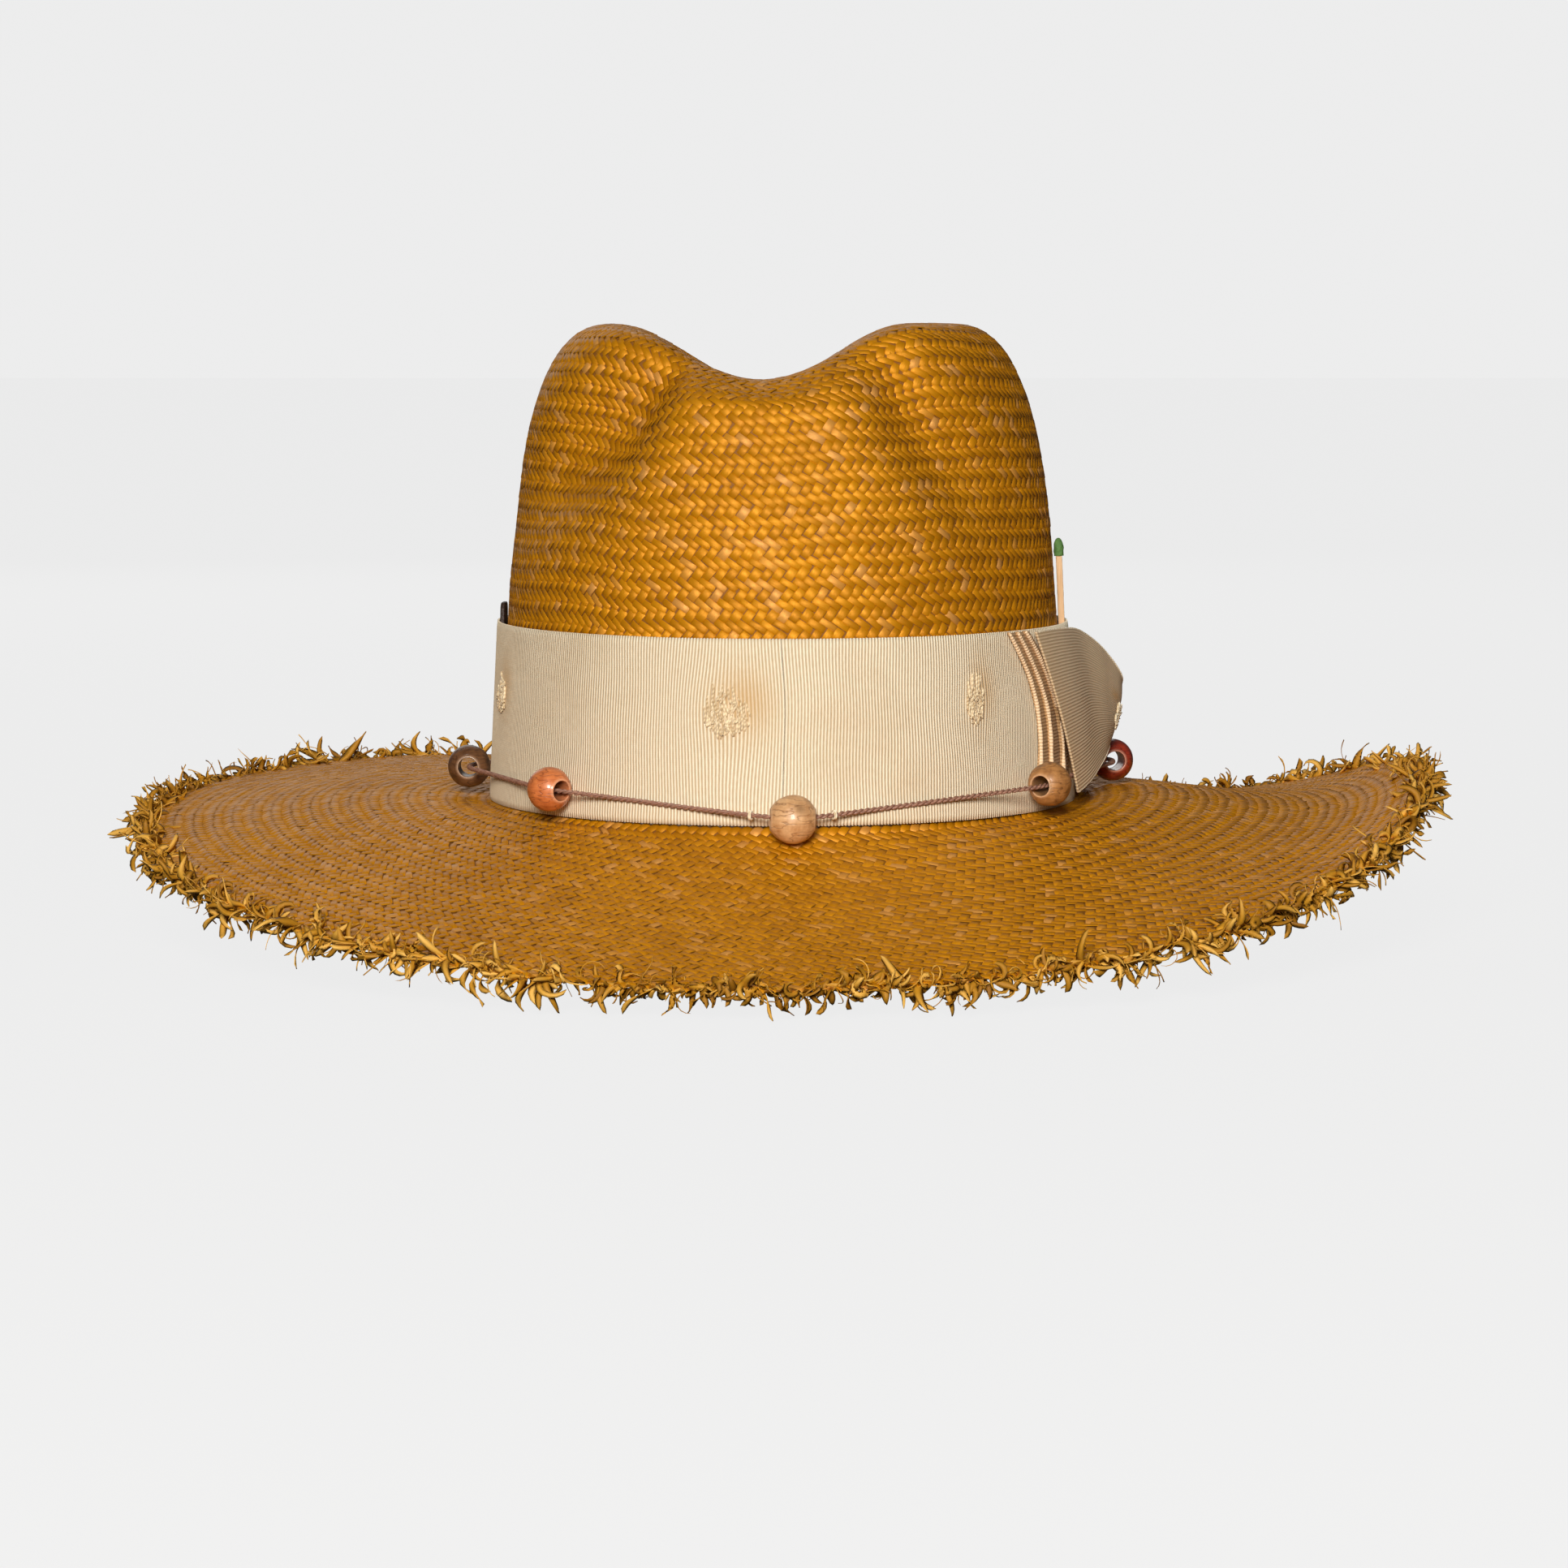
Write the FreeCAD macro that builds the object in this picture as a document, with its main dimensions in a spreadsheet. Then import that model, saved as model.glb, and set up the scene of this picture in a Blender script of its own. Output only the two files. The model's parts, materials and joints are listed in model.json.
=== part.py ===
import FreeCAD, Part
import math
import os
from FreeCAD import Placement, Rotation, Vector
from Sketcher import Constraint

# A straw sun hat. Its frame: the origin is the middle of the head opening, in the plane
# where the crown meets the brim, +Z is up and the hat faces -Y, so +X is the wearer's left.
# A "turn" is the direction of the oval's outward normal in degrees, 0 at the front and
# 90 at +X. An "offset" is a distance outside the head's oval, and it leaves the oval's
# four arcs on their own centres.

doc = FreeCAD.newDocument("StrawSunHat")
sheet = doc.addObject("Spreadsheet::Sheet", "Sizes")

sizes = {
    # the head's oval, inside the sweatband; its ends curve on a radius smaller than its half width
    "head_half_width": 83.2,
    "head_half_length": 100.2,
    "head_end_tighter": 10,
    # crown
    "straw_thick": 1.6,
    "crown_height": 143.3,
    "wall_taper": 0.068,
    "shoulder_start": 70,
    "shoulder_inset": 25.3,
    "shoulder_power": 2.6,
    "crease_place": -6,
    "crease_half_width": 45,
    "crease_front_depth": 15.8,
    "crease_middle_depth": 21,
    "crease_back_depth": 19,
    "crease_fade_from": 118,
    "pinch_left_depth": 14,
    "pinch_left_top_turn": 38,
    "pinch_left_low_turn": 76,
    "pinch_right_depth": 10,
    "pinch_right_top_turn": 30,
    "pinch_right_low_turn": 62,
    "pinch_spread": 15,
    "pinch_height": 118,
    "pinch_reach": 48,
    # brim: heights at a fourth, at six tenths and at the whole of its width
    "brim_width": 106,
    "break_radius": 3,
    "near_front": -12.5, "near_front_right": -7, "near_right": 3, "near_back_right": 0,
    "near_back": -2, "near_back_left": 1.5, "near_left": 1.5, "near_front_left": -7.5,
    "mid_front": -24, "mid_front_right": -15, "mid_right": -1, "mid_back_right": -5,
    "mid_back": -5, "mid_back_left": 2, "mid_left": -1, "mid_front_left": -16,
    "edge_front": -34, "edge_front_right": -22, "edge_right": 11, "edge_back_right": -11,
    "edge_back": -7, "edge_back_left": 1, "edge_left": -5, "edge_front_left": -25,
    "fringe_width": 9,
    "fringe_loft": 2,
    # sweatband, sewn inside
    "sweatband_thick": 1.2,
    "sweatband_gap": 0.2,
    "sweatband_bottom": 0.6,
    "sweatband_top": 32,
    "reed_diameter": 1.6,
    "stitch_length": 3.2,
    "stitch_thick": 0.35,
    "stitch_pitch": 8,
    "stitch_height": 3.4,
    "stitch_room": 0.06,
    # grosgrain band
    "band_thick": 0.8,
    "band_bottom": 1.4,
    "band_top": 54.4,
    "band_room_bottom": 1.5,
    "band_room_top": 2.7,
    # what is tucked into the band
    "match_turn": 88,
    "match_width": 1.9,
    "match_bottom": 38,
    "match_top": 79.3,
    "tuck_room": 0.2,
    "match_head_width": 3.1,
    "match_head_height": 5.4,
    "match_in_head": 3,
    "tab_turn": -93,
    "tab_width": 11,
    "tab_thick": 1.3,
    "tab_bottom": 36,
    "tab_top": 59.5,
    # bow
    "pleat_thick": 1.8,
    "bow_thick": 0.8,
    # beads and their cord
    "cord_diameter": 1.5,
    "cord_room": 0.25,
    "bead_diameter": 13,
    "front_bead_diameter": 14.2,
    "bead_bore": 5.8,
    "bead_rim": 0.5,
    "bead_room": 0.4,
    "tack_thick": 0.4,
    "tack_offset": 11,
    "knot_thick": 1.1,
    "knot_turn": 10,
}
for row, (alias, value) in enumerate(sizes.items(), 1):
    sheet.set(f"A{row}", alias)
    sheet.set(f"B{row}", str(value))
    sheet.setAlias(f"B{row}", alias)
doc.recompute()


def size(alias):
    return float(sheet.get(alias))


# ---- the head's oval, of four arcs ----

halfWidth = size("head_half_width")
halfLength = size("head_half_length")
endRadius = halfWidth - size("head_end_tighter")
endCentre = halfLength - endRadius
sideRadius = (halfWidth ** 2 + endCentre ** 2 - endRadius ** 2) / (2 * (halfWidth - endRadius))
sideCentre = sideRadius - halfWidth
joinTurn = math.degrees(math.atan2(sideCentre, endCentre))


def outward(turn):
    angle = math.radians(turn)
    return Vector(math.sin(angle), -math.cos(angle), 0)


def ovalPoint(turn, offset, height=0):
    turn = (turn + 180) % 360 - 180
    across = outward(turn)
    if abs(turn) < joinTurn:
        centre, radius = Vector(0, -endCentre, 0), endRadius
    elif abs(turn) > 180 - joinTurn:
        centre, radius = Vector(0, endCentre, 0), endRadius
    else:
        side = 1 if turn > 0 else -1
        centre, radius = Vector(-side * sideCentre, 0, 0), sideRadius
    return centre + across * (radius + offset) + Vector(0, 0, height)


def ovalWire(offset, height):
    edges = []
    stops = [-joinTurn, joinTurn, 180 - joinTurn, 180 + joinTurn, 360 - joinTurn]
    for start, end in zip(stops, stops[1:]):
        points = [ovalPoint(turn, offset, height) for turn in (start, (start + end) / 2, end)]
        edges.append(Part.Arc(*points).toShape())
    return Part.Wire(edges)


def ovalRing(innerLevels, outerLevels):
    """A ring between two tapered ovals, each given as (offset, height) from bottom to top."""
    outer = Part.makeLoft([ovalWire(*level) for level in outerLevels], True, True)
    inner = Part.makeLoft([ovalWire(*level) for level in innerLevels], True, True)
    return outer.cut(inner)


# ---- solids between two curved surfaces ----

turnSteps = 72


def smooth(x):
    x = min(max(x, 0), 1)
    return x * x * (3 - 2 * x)


def curveThrough(points, closed, parameters):
    curve = Part.BSplineCurve()
    curve.interpolate(Points=points, PeriodicFlag=closed, Parameters=parameters)
    return curve


def surfaceOf(rows, closed=True):
    """The surface through a grid of points: along each row first, then across the rows."""
    columns = len(rows[0])
    steps = [number / columns for number in range(columns + closed)]
    rowCurves = [curveThrough(row, closed, steps) for row in rows]
    lengths = [0]
    for before, row in zip(rows, rows[1:]):
        mean = sum((a - b).Length for a, b in zip(before, row)) / columns
        lengths.append(lengths[-1] + mean)
    polesAcross = zip(*(curve.getPoles() for curve in rowCurves))
    crossCurves = [curveThrough(list(poles), False, lengths) for poles in polesAcross]
    cross, along = crossCurves[0], rowCurves[0]
    poles = [list(line) for line in zip(*(curve.getPoles() for curve in crossCurves))]
    surface = Part.BSplineSurface()
    surface.buildFromPolesMultsKnots(
        poles, cross.getMultiplicities(), along.getMultiplicities(), cross.getKnots(),
        along.getKnots(), False, closed, cross.Degree, along.Degree)
    return surface


def ends(surface):
    """The surface's first and last row, as edges."""
    return [surface.uIso(surface.bounds()[end]).toShape() for end in (0, 1)]


def sides(surface):
    """The edges of an open surface at its first and last column."""
    return [surface.vIso(surface.bounds()[end]).toShape() for end in (2, 3)]


def solidBetween(outerRows, innerRows, closed):
    """The closed solid between two grids of points, which may run all round the hat."""
    pair = [surfaceOf(rows, closed) for rows in (outerRows, innerRows)]
    faces = [surface.toShape() for surface in pair]
    rims = list(zip(*(ends(surface) for surface in pair)))
    if not closed:
        rims += list(zip(*(sides(surface) for surface in pair)))
    faces += [Part.makeRuledSurface(*rim) for rim in rims]
    shell = Part.makeShell(faces)
    shell.sewShape()
    return orientedSolid(shell)


def orientedSolid(shell):
    solid = Part.makeSolid(shell)
    if solid.Volume < 0:
        solid.reverse()
    return solid


def closedTube(wire, radius):
    """A round tube along a closed path of straight runs and arcs."""
    first = wire.OrderedEdges[0]
    start = first.valueAt(first.FirstParameter)
    section = Part.Wire(Part.makeCircle(radius, start, first.tangentAt(first.FirstParameter)))
    skin = wire.makePipeShell([section], False, False)
    skin.sewShape()
    return orientedSolid(skin)


def around(makeRow, stations):
    """Rows of points, one for each station, closed round the hat."""
    turns = [360 * step / turnSteps - 180 for step in range(turnSteps)]
    return [[makeRow(turn, station) for turn in turns] for station in stations]


def inside(makePoint, turn, station, depth, step=0.01):
    """The point at a depth under a surface, measured along its normal."""
    here = makePoint(turn, station)
    along = makePoint(turn + 1, station) - makePoint(turn - 1, station)
    upward = makePoint(turn, station + step) - makePoint(turn, max(station - step, 0))
    normal = along.cross(upward)
    normal.normalize()
    return here - normal * depth


# ---- crown ----

strawThick = size("straw_thick")
strawOffset = size("sweatband_thick") + size("sweatband_gap") + strawThick
crownHeight = size("crown_height")
breakRadius = size("break_radius")
wallTaper = size("wall_taper")
shoulderStart = size("shoulder_start")
tipStation = 2.9


def wallInset(height):
    return wallTaper * height


def pinch(turn, height):
    """How far the two dents at the front push the wall in."""
    rise = (height - size("pinch_height")) / size("pinch_reach")
    if abs(rise) > 1:
        return 0
    share = (crownHeight - height) / (crownHeight - shoulderStart)
    depth = 0
    for side, way in (("left", -1), ("right", 1)):
        top, low = size(f"pinch_{side}_top_turn"), size(f"pinch_{side}_low_turn")
        apart = turn - way * (top + (low - top) * share)
        depth += size(f"pinch_{side}_depth") * math.exp(-((apart / size("pinch_spread")) ** 2))
    return depth * math.cos(rise * math.pi / 2) ** 2


def creaseDepth(x, y):
    """The depth of the valley along the top; it is a parabola from the front to the back."""
    reach = halfLength * 0.6
    along = min(max(y / reach, -1), 1)
    front, middle, back = (size(f"crease_{end}_depth") for end in ("front", "middle", "back"))
    deep = middle + along * (back - front) / 2 + along ** 2 * ((back + front) / 2 - middle)
    across = (x - size("crease_place")) / size("crease_half_width")
    if abs(across) > 1:
        return 0
    return deep * math.cos(across * math.pi / 2) ** 2


def crownPoint(turn, station):
    """Station 0 to 1 is the wall, 1 to 2 is the shoulder and 2 to 3 runs to the tip's middle."""
    shrink = 1
    if station <= 1:
        height = breakRadius + (shoulderStart - breakRadius) * station
        inset = wallInset(height)
    else:
        angle = min(station - 1, 1) * math.pi / 2
        power = 2 / size("shoulder_power")
        height = shoulderStart + (crownHeight - shoulderStart) * math.sin(angle) ** power
        roll = 1 - max(math.cos(angle), 0) ** power
        inset = wallInset(height) + size("shoulder_inset") * roll
        shrink = min(3 - station, 1)
    turn = (turn + 180) % 360 - 180
    place = ovalPoint(turn, strawOffset - inset - pinch(turn, height)) * shrink
    fade = smooth((height - size("crease_fade_from")) / (crownHeight - size("crease_fade_from")))
    place.z = height - creaseDepth(place.x, place.y) * fade
    return place


def crownTip(turn, station):
    """The surface near the tip, which ends in a small level disc."""
    point = crownPoint(turn, station)
    if station >= tipStation:
        point.z = crownHeight - creaseDepth(0, 0)
    return point


wallStations = [0, 0.25, 0.5, 0.75]
shoulderStations = [1 + step / 12 for step in range(12)]
topStations = [2, 2.12, 2.28, 2.45, 2.62, 2.78, tipStation]
crownStations = wallStations + shoulderStations + topStations


def crownInner(turn, station):
    if station >= tipStation:
        return crownTip(turn, station) - Vector(0, 0, strawThick)
    return inside(crownPoint, turn, station, strawThick)


def crownShape():
    """The outer and inner surface, the rim that stands on the brim, and two discs at the tip."""
    pair = [surfaceOf(around(point, crownStations)) for point in (crownTip, crownInner)]
    rims = [ends(surface) for surface in pair]
    faces = [surface.toShape() for surface in pair]
    faces.append(Part.makeRuledSurface(rims[0][0], rims[1][0]))
    faces += [Part.Face(Part.Wire([rim[1]])) for rim in rims]
    shell = Part.makeShell(faces)
    shell.sewShape()
    return orientedSolid(shell)


# ---- brim ----

compass = ["front", "front_right", "right", "back_right", "back", "back_left", "left", "front_left"]


def roundCompass(ring, turn):
    """A height between the eight named ones, by a smooth curve through them."""
    heights = [size(f"{ring}_{name}") for name in compass]
    place = (turn % 360) / 45
    first = int(place)
    share = place - first
    a, b, c, d = (heights[(first + step) % 8] for step in (-1, 0, 1, 2))
    return b + share * ((c - a) + share * ((2 * a - 5 * b + 4 * c - d) + share * (3 * (b - c) + d - a))) / 2


def brimReach(turn):
    """The level distance that the brim covers, as its width is measured along its slope."""
    return math.sqrt(size("brim_width") ** 2 - roundCompass("edge", turn) ** 2)


def brimHeight(turn, out):
    """The cubic through 0 at the crown and the three named rings, and the roll into the wall."""
    t = out / brimReach(turn)
    near, mid, edge = (roundCompass(ring, turn) for ring in ("near", "mid", "edge"))
    rise = near * t * (t - 0.6) * (t - 1) / (0.25 * 0.35 * 0.75)
    rise += mid * t * (t - 0.25) * (1 - t) / (0.6 * 0.35 * 0.4)
    rise += edge * t * (t - 0.25) * (t - 0.6) / (0.75 * 0.4)
    short = max(breakRadius - out, 0)
    return rise + breakRadius - math.sqrt(breakRadius ** 2 - short ** 2)


def brimPoint(turn, station):
    """Station 0 to 1 is the roll at the crown, 1 to 2 the brim, and beyond 2 its fringe."""
    if station <= 1:
        out = breakRadius * (1 - math.cos(station * math.pi / 2))
    else:
        out = breakRadius + (brimReach(turn) - breakRadius) * (station - 1)
    settle = wallInset(breakRadius) * (1 - min(station, 1))
    return ovalPoint(turn, strawOffset - settle + out, brimHeight(turn, out))


def brimTop(turn, station):
    return crownPoint(turn, 0) if station == 0 else brimPoint(turn, station)


def brimUnder(turn, station):
    if station == 0:
        return crownInner(turn, 0)
    return inside(brimPoint, turn, station, -strawThick)


rollStations = [0, 0.2, 0.4, 0.6, 0.8, 1]
brimStations = rollStations + [1 + step / 14 for step in range(1, 15)]


def brimShape():
    return solidBetween(around(brimTop, brimStations), around(brimUnder, brimStations), True)


def fringePoint(turn, share, under):
    """The loose ends carry on past the brim's edge, thick in the middle and thin at their tips."""
    root = brimUnder(turn, 2) if under else brimTop(turn, 2)
    slope = brimPoint(turn, 2) - brimPoint(turn, 1.9)
    slope.normalize()
    loft = size("fringe_loft") * math.sin(min(share * 1.15, 1) * math.pi)
    place = root + slope * size("fringe_width") * share
    return place + Vector(0, 0, -loft if under else loft)


def fringeShape():
    shares = [0, 0.3, 0.6, 0.85]
    upper = around(lambda turn, share: fringePoint(turn, share, False), shares)
    lower = around(lambda turn, share: fringePoint(turn, share, True), shares)
    return solidBetween(upper, lower, True)


# ---- sweatband ----

def sweatbandShape():
    levels = [size("sweatband_bottom"), size("sweatband_top")]
    inner = [(-wallInset(height), height) for height in levels]
    outer = [(offset + size("sweatband_thick"), height) for offset, height in inner]
    clear = [(offset, height + over) for (offset, height), over in zip(inner, (-1, 1))]
    return ovalRing(clear, outer)


def reedShape():
    radius = size("reed_diameter") / 2
    return closedTube(ovalWire(size("sweatband_thick") / 2, size("sweatband_bottom") - radius), radius)


def stitchShape():
    """Bar stitches round the sweatband's inner face, just above its lower edge."""
    thick, length = size("stitch_thick"), size("stitch_length")
    height = size("stitch_height")
    offset = -wallInset(height) - size("stitch_room")
    perimeter = ovalWire(offset, height).Length
    count = round(perimeter / size("stitch_pitch"))
    stitches = []
    for number in range(count):
        turn = 360 * number / count
        bar = Part.makeBox(thick, length, thick, Vector(-thick, -length / 2, -thick / 2))
        bar.Placement = Placement(ovalPoint(turn, offset, height), Rotation(Vector(0, 0, 1), turn - 90))
        stitches.append(bar)
    return Part.makeCompound(stitches)


# ---- grosgrain band ----

bandBottom = size("band_bottom")
bandTop = size("band_top")


def bandOffset(height):
    """The band's inner face, which leaves room for what is tucked in at its top."""
    low = strawOffset - wallInset(bandBottom) + size("band_room_bottom")
    high = strawOffset - wallInset(bandTop) + size("band_room_top")
    return low + (high - low) * (height - bandBottom) / (bandTop - bandBottom)


def bandOutside(turn, stand, height):
    """A point that stands off the band's outer face."""
    return ovalPoint(turn, bandOffset(height) + size("band_thick") + stand, height)


def bandShape():
    outer = [(bandOffset(height) + size("band_thick"), height) for height in (bandBottom, bandTop)]
    inner = [(bandOffset(height), height) for height in (bandBottom - 1, bandTop + 1)]
    return ovalRing(inner, outer)


# ---- bow: pleats, a flared loop over them and a folded pad under the loop ----

gap = 0.15


def between(low, high, share):
    return [a + (b - a) * share for a, b in zip(low, high)]


def pleatShape():
    """The pleats lie on the band; their columns are (turn, height) at the bottom and the top."""
    columns = [((61, 5), (55, 54)), ((65, 4.5), (57, 54.3)), ((70, 4.5), (59, 54.3)), ((76, 5), (61, 54))]
    shares = [0, 0.25, 0.5, 0.75, 1]
    sides = []
    for stand in (size("pleat_thick"), gap):
        rows = []
        for low, high in columns:
            points = [between(low, high, share) for share in shares]
            bend = [4.5 * math.sin(share * math.pi) for share in shares]
            rows.append([bandOutside(turn + more, stand, height) for (turn, height), more in zip(points, bend)])
        sides.append(rows)
    return solidBetween(*sides, False)


def bowSheet(stations, bulge, thick):
    """A sheet from (turn, stand over the pleats, height) at its lower selvedge to its upper one."""
    outer, inner = [], []
    for low, high in stations:
        outerRow, innerRow = [], []
        for share in (0, 0.35, 0.7, 1):
            turn, stand, height = between(low, high, share)
            stand += size("pleat_thick") + bulge * math.sin(share * math.pi)
            outerRow.append(bandOutside(turn, stand + thick, height))
            innerRow.append(bandOutside(turn, stand, height))
        outer.append(outerRow)
        inner.append(innerRow)
    return solidBetween(outer, inner, False)


def loopShape():
    stations = [
        ((70.5, 4.1, 5.5), (61.6, 0.15, 54)),
        ((75, 5.2, 8), (70, 0.6, 54.2)),
        ((80, 6.4, 11.5), (79, 2.4, 52.6)),
        ((85, 7.7, 14.5), (86, 8.2, 46)),
        ((90, 8.7, 17), (91, 13.6, 37)),
        ((94.5, 7.7, 19), (96, 12.2, 31)),
    ]
    return bowSheet(stations, 0.8, size("bow_thick"))


def padShape():
    """The tail of the ribbon is folded under itself and lies flat against the band."""
    low = [(84, 3.5), (92, 2.5), (101, 2.5), (110, 3.5)]
    high = [(84, 38), (92, 37), (101, 34), (110, 30)]
    stands = [2, 4.6, 4.6, 1.2]
    sides = []
    for outerSide in (True, False):
        rows = []
        for (turnLow, heightLow), (turnHigh, heightHigh), stand in zip(low, high, stands):
            row = []
            for share in (0, 0.5, 1):
                turn, height = between((turnLow, heightLow), (turnHigh, heightHigh), share)
                row.append(bandOutside(turn, stand if outerSide else gap, height))
            rows.append(row)
        sides.append(rows)
    return solidBetween(*sides, False)


# ---- beads on their cord ----

cordRadius = size("cord_diameter") / 2
cordRest = cordRadius + size("cord_room")
cordDip = 0.85  # the straight runs and the arcs between them dip this far inside their corners

# each bead: its turn, the height of its middle, and what it stands on besides the band
beads = {
    "bead_front_natural": (2, 3.9, 0),
    "bead_right_front_brown": (58.5, 10.2, size("pleat_thick")),
    "bead_right_dark_red": (98, 10.6, 7),
    "bead_back_right_natural": (137, 9, 0),
    "bead_back_orange": (179, 7.5, 0),
    "bead_back_left_brown": (-137, 9, 0),
    "bead_left_dark_brown": (-92, 9.8, 0),
    "bead_left_front_orange": (-51.4, 9.7, 0),
}


def beadWidth(name):
    return size("front_bead_diameter" if "front_natural" in name else "bead_diameter")


def beadStand(name):
    return beadWidth(name) / 2 + size("bead_room") + beads[name][2]


def beadCentre(name):
    turn, height, extra = beads[name]
    return bandOutside(turn, beadStand(name), height)


# the cord rests on the band, on the pleats and on the folded pad: (turn, what lies under it)
cordRests = [
    (18, 0), (36, 0), (70, size("pleat_thick")), (84, size("pleat_thick") + 1.3), (115, 1),
    (127, 0), (150, 0), (165, 0), (193, 0), (208, 0), (236, 0), (251, 0), (281, 0), (295, 0),
    (322, 0), (341, 0),
]


def heightAlong(turn):
    """The height of the cord between the two beads beside a turn."""
    stops = sorted((place % 360, height) for place, height, extra in beads.values())
    stops = [(stops[-1][0] - 360, stops[-1][1])] + stops + [(stops[0][0] + 360, stops[0][1])]
    for (start, low), (end, high) in zip(stops, stops[1:]):
        if start <= turn <= end:
            return low + (high - low) * (turn - start) / (end - start)


def cordCorners(lifts):
    """The corners of the cord's route: the beads, and places where it lies against the band."""
    stops = {}
    for name, (turn, height, extra) in beads.items():
        stops[turn % 360] = bandOutside(turn, beadStand(name) + lifts.get(name, 0), height)
    for turn, under in cordRests:
        stops[turn] = bandOutside(turn, under + cordRest + cordDip, heightAlong(turn))
    return [stops[turn] for turn in sorted(stops)]


def halfTurn(corners, number):
    """The directions of the runs before and after a corner, and half the angle between them."""
    before = corners[number] - corners[number - 1]
    after = corners[(number + 1) % len(corners)] - corners[number]
    return before, after, before.getAngle(after) / 2


def cordRadii(corners):
    """The radius at each corner: 0.45 of the shorter run over the tangent of half the turn."""
    radii = []
    for number in range(len(corners)):
        before, after, half = halfTurn(corners, number)
        radii.append(0.45 * min(before.Length, after.Length) / math.tan(half))
    return radii


def beadCorner(name):
    """The number of a bead's corner in the cord's route."""
    stops = [place[0] % 360 for place in beads.values()] + [turn for turn, under in cordRests]
    return sorted(stops).index(beads[name][0] % 360)


def routeThroughBeads():
    """An arc passes inside its corner, so each bead's corner is lifted until the arc meets its middle."""
    lifts = {}
    for attempt in range(3):
        corners = cordCorners(lifts)
        radii = cordRadii(corners)
        for name in beads:
            number = beadCorner(name)
            half = halfTurn(corners, number)[2]
            lifts[name] = radii[number] * (1 / math.cos(half) - 1)
    return corners


def cordWire(corners, radii):
    """Straight runs joined by tangent arcs, closed round the hat."""
    arcs = []
    for number, (corner, radius) in enumerate(zip(corners, radii)):
        before = (corners[number - 1] - corner).normalize()
        after = (corners[(number + 1) % len(corners)] - corner).normalize()
        half = (math.pi - before.getAngle(after)) / 2
        reach = radius * math.tan(half)
        inward = (before + after).normalize()
        middle = corner + inward * (radius / math.cos(half) - radius)
        arcs.append(Part.Arc(corner + before * reach, middle, corner + after * reach))
    edges = []
    for number, arc in enumerate(arcs):
        follow = arcs[(number + 1) % len(arcs)]
        edges += [arc.toShape(), Part.LineSegment(arc.EndPoint, follow.StartPoint).toShape()]
    return Part.Wire(edges)


def cordPlace(wire, turn):
    """The point of the cord at a turn, and the cord's direction there."""
    reach = Part.makeLine(bandOutside(turn, -2, -40), bandOutside(turn, -2, 60))
    far = Part.makeLine(bandOutside(turn, 20, -40), bandOutside(turn, 20, 60))
    point = Part.makeRuledSurface(reach, far).distToShape(wire)[1][0][1]
    run = min(wire.Edges, key=lambda edge: edge.distToShape(Part.Vertex(point))[0])
    return point, run.tangentAt(run.Curve.parameter(point))


def tackShape(wire):
    """Two thread loops hold the cord down on either side of the front bead."""
    turn = beads["bead_front_natural"][0]
    reach = size("tack_offset") / (endRadius + strawOffset)
    loops = []
    for side in (-1, 1):
        point, ahead = cordPlace(wire, turn + side * math.degrees(reach))
        thick = size("tack_thick") / 2
        ring = Part.makeTorus(cordRadius + thick + 0.05, thick, point, ahead)
        loops.append(ring)
    return Part.makeCompound(loops)


def knotShape(wire):
    """Two turns of the knot that ties the cord's ends together, beside the bead at the back."""
    point, ahead = cordPlace(wire, beads["bead_back_orange"][0] + size("knot_turn"))
    thick = size("knot_thick") / 2
    turns = []
    for side in (-1, 1):
        place = point + ahead * side * (thick + 0.05)
        turns.append(Part.makeTorus(cordRadius + thick + 0.05, thick, place, ahead))
    return Part.makeCompound(turns)


# ---- bodies made of sketches and features ----

def originPlane(body, role):
    return next(item for item in body.Origin.OriginFeatures if item.Role == role)


def newBody(label):
    body = doc.addObject("PartDesign::Body", label)
    body.Label = label
    return body


def newSketch(body, name, plane):
    sketch = body.newObject("Sketcher::SketchObject", name)
    sketch.AttachmentSupport = [(originPlane(body, plane), "")]
    sketch.MapMode = "FlatFace"
    return sketch


def bindSketch(sketch, expressions):
    """Binds each named constraint of a sketch to its cells."""
    for name, expression in expressions.items():
        sketch.setExpression(f"Constraints.{name}", expression)


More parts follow.
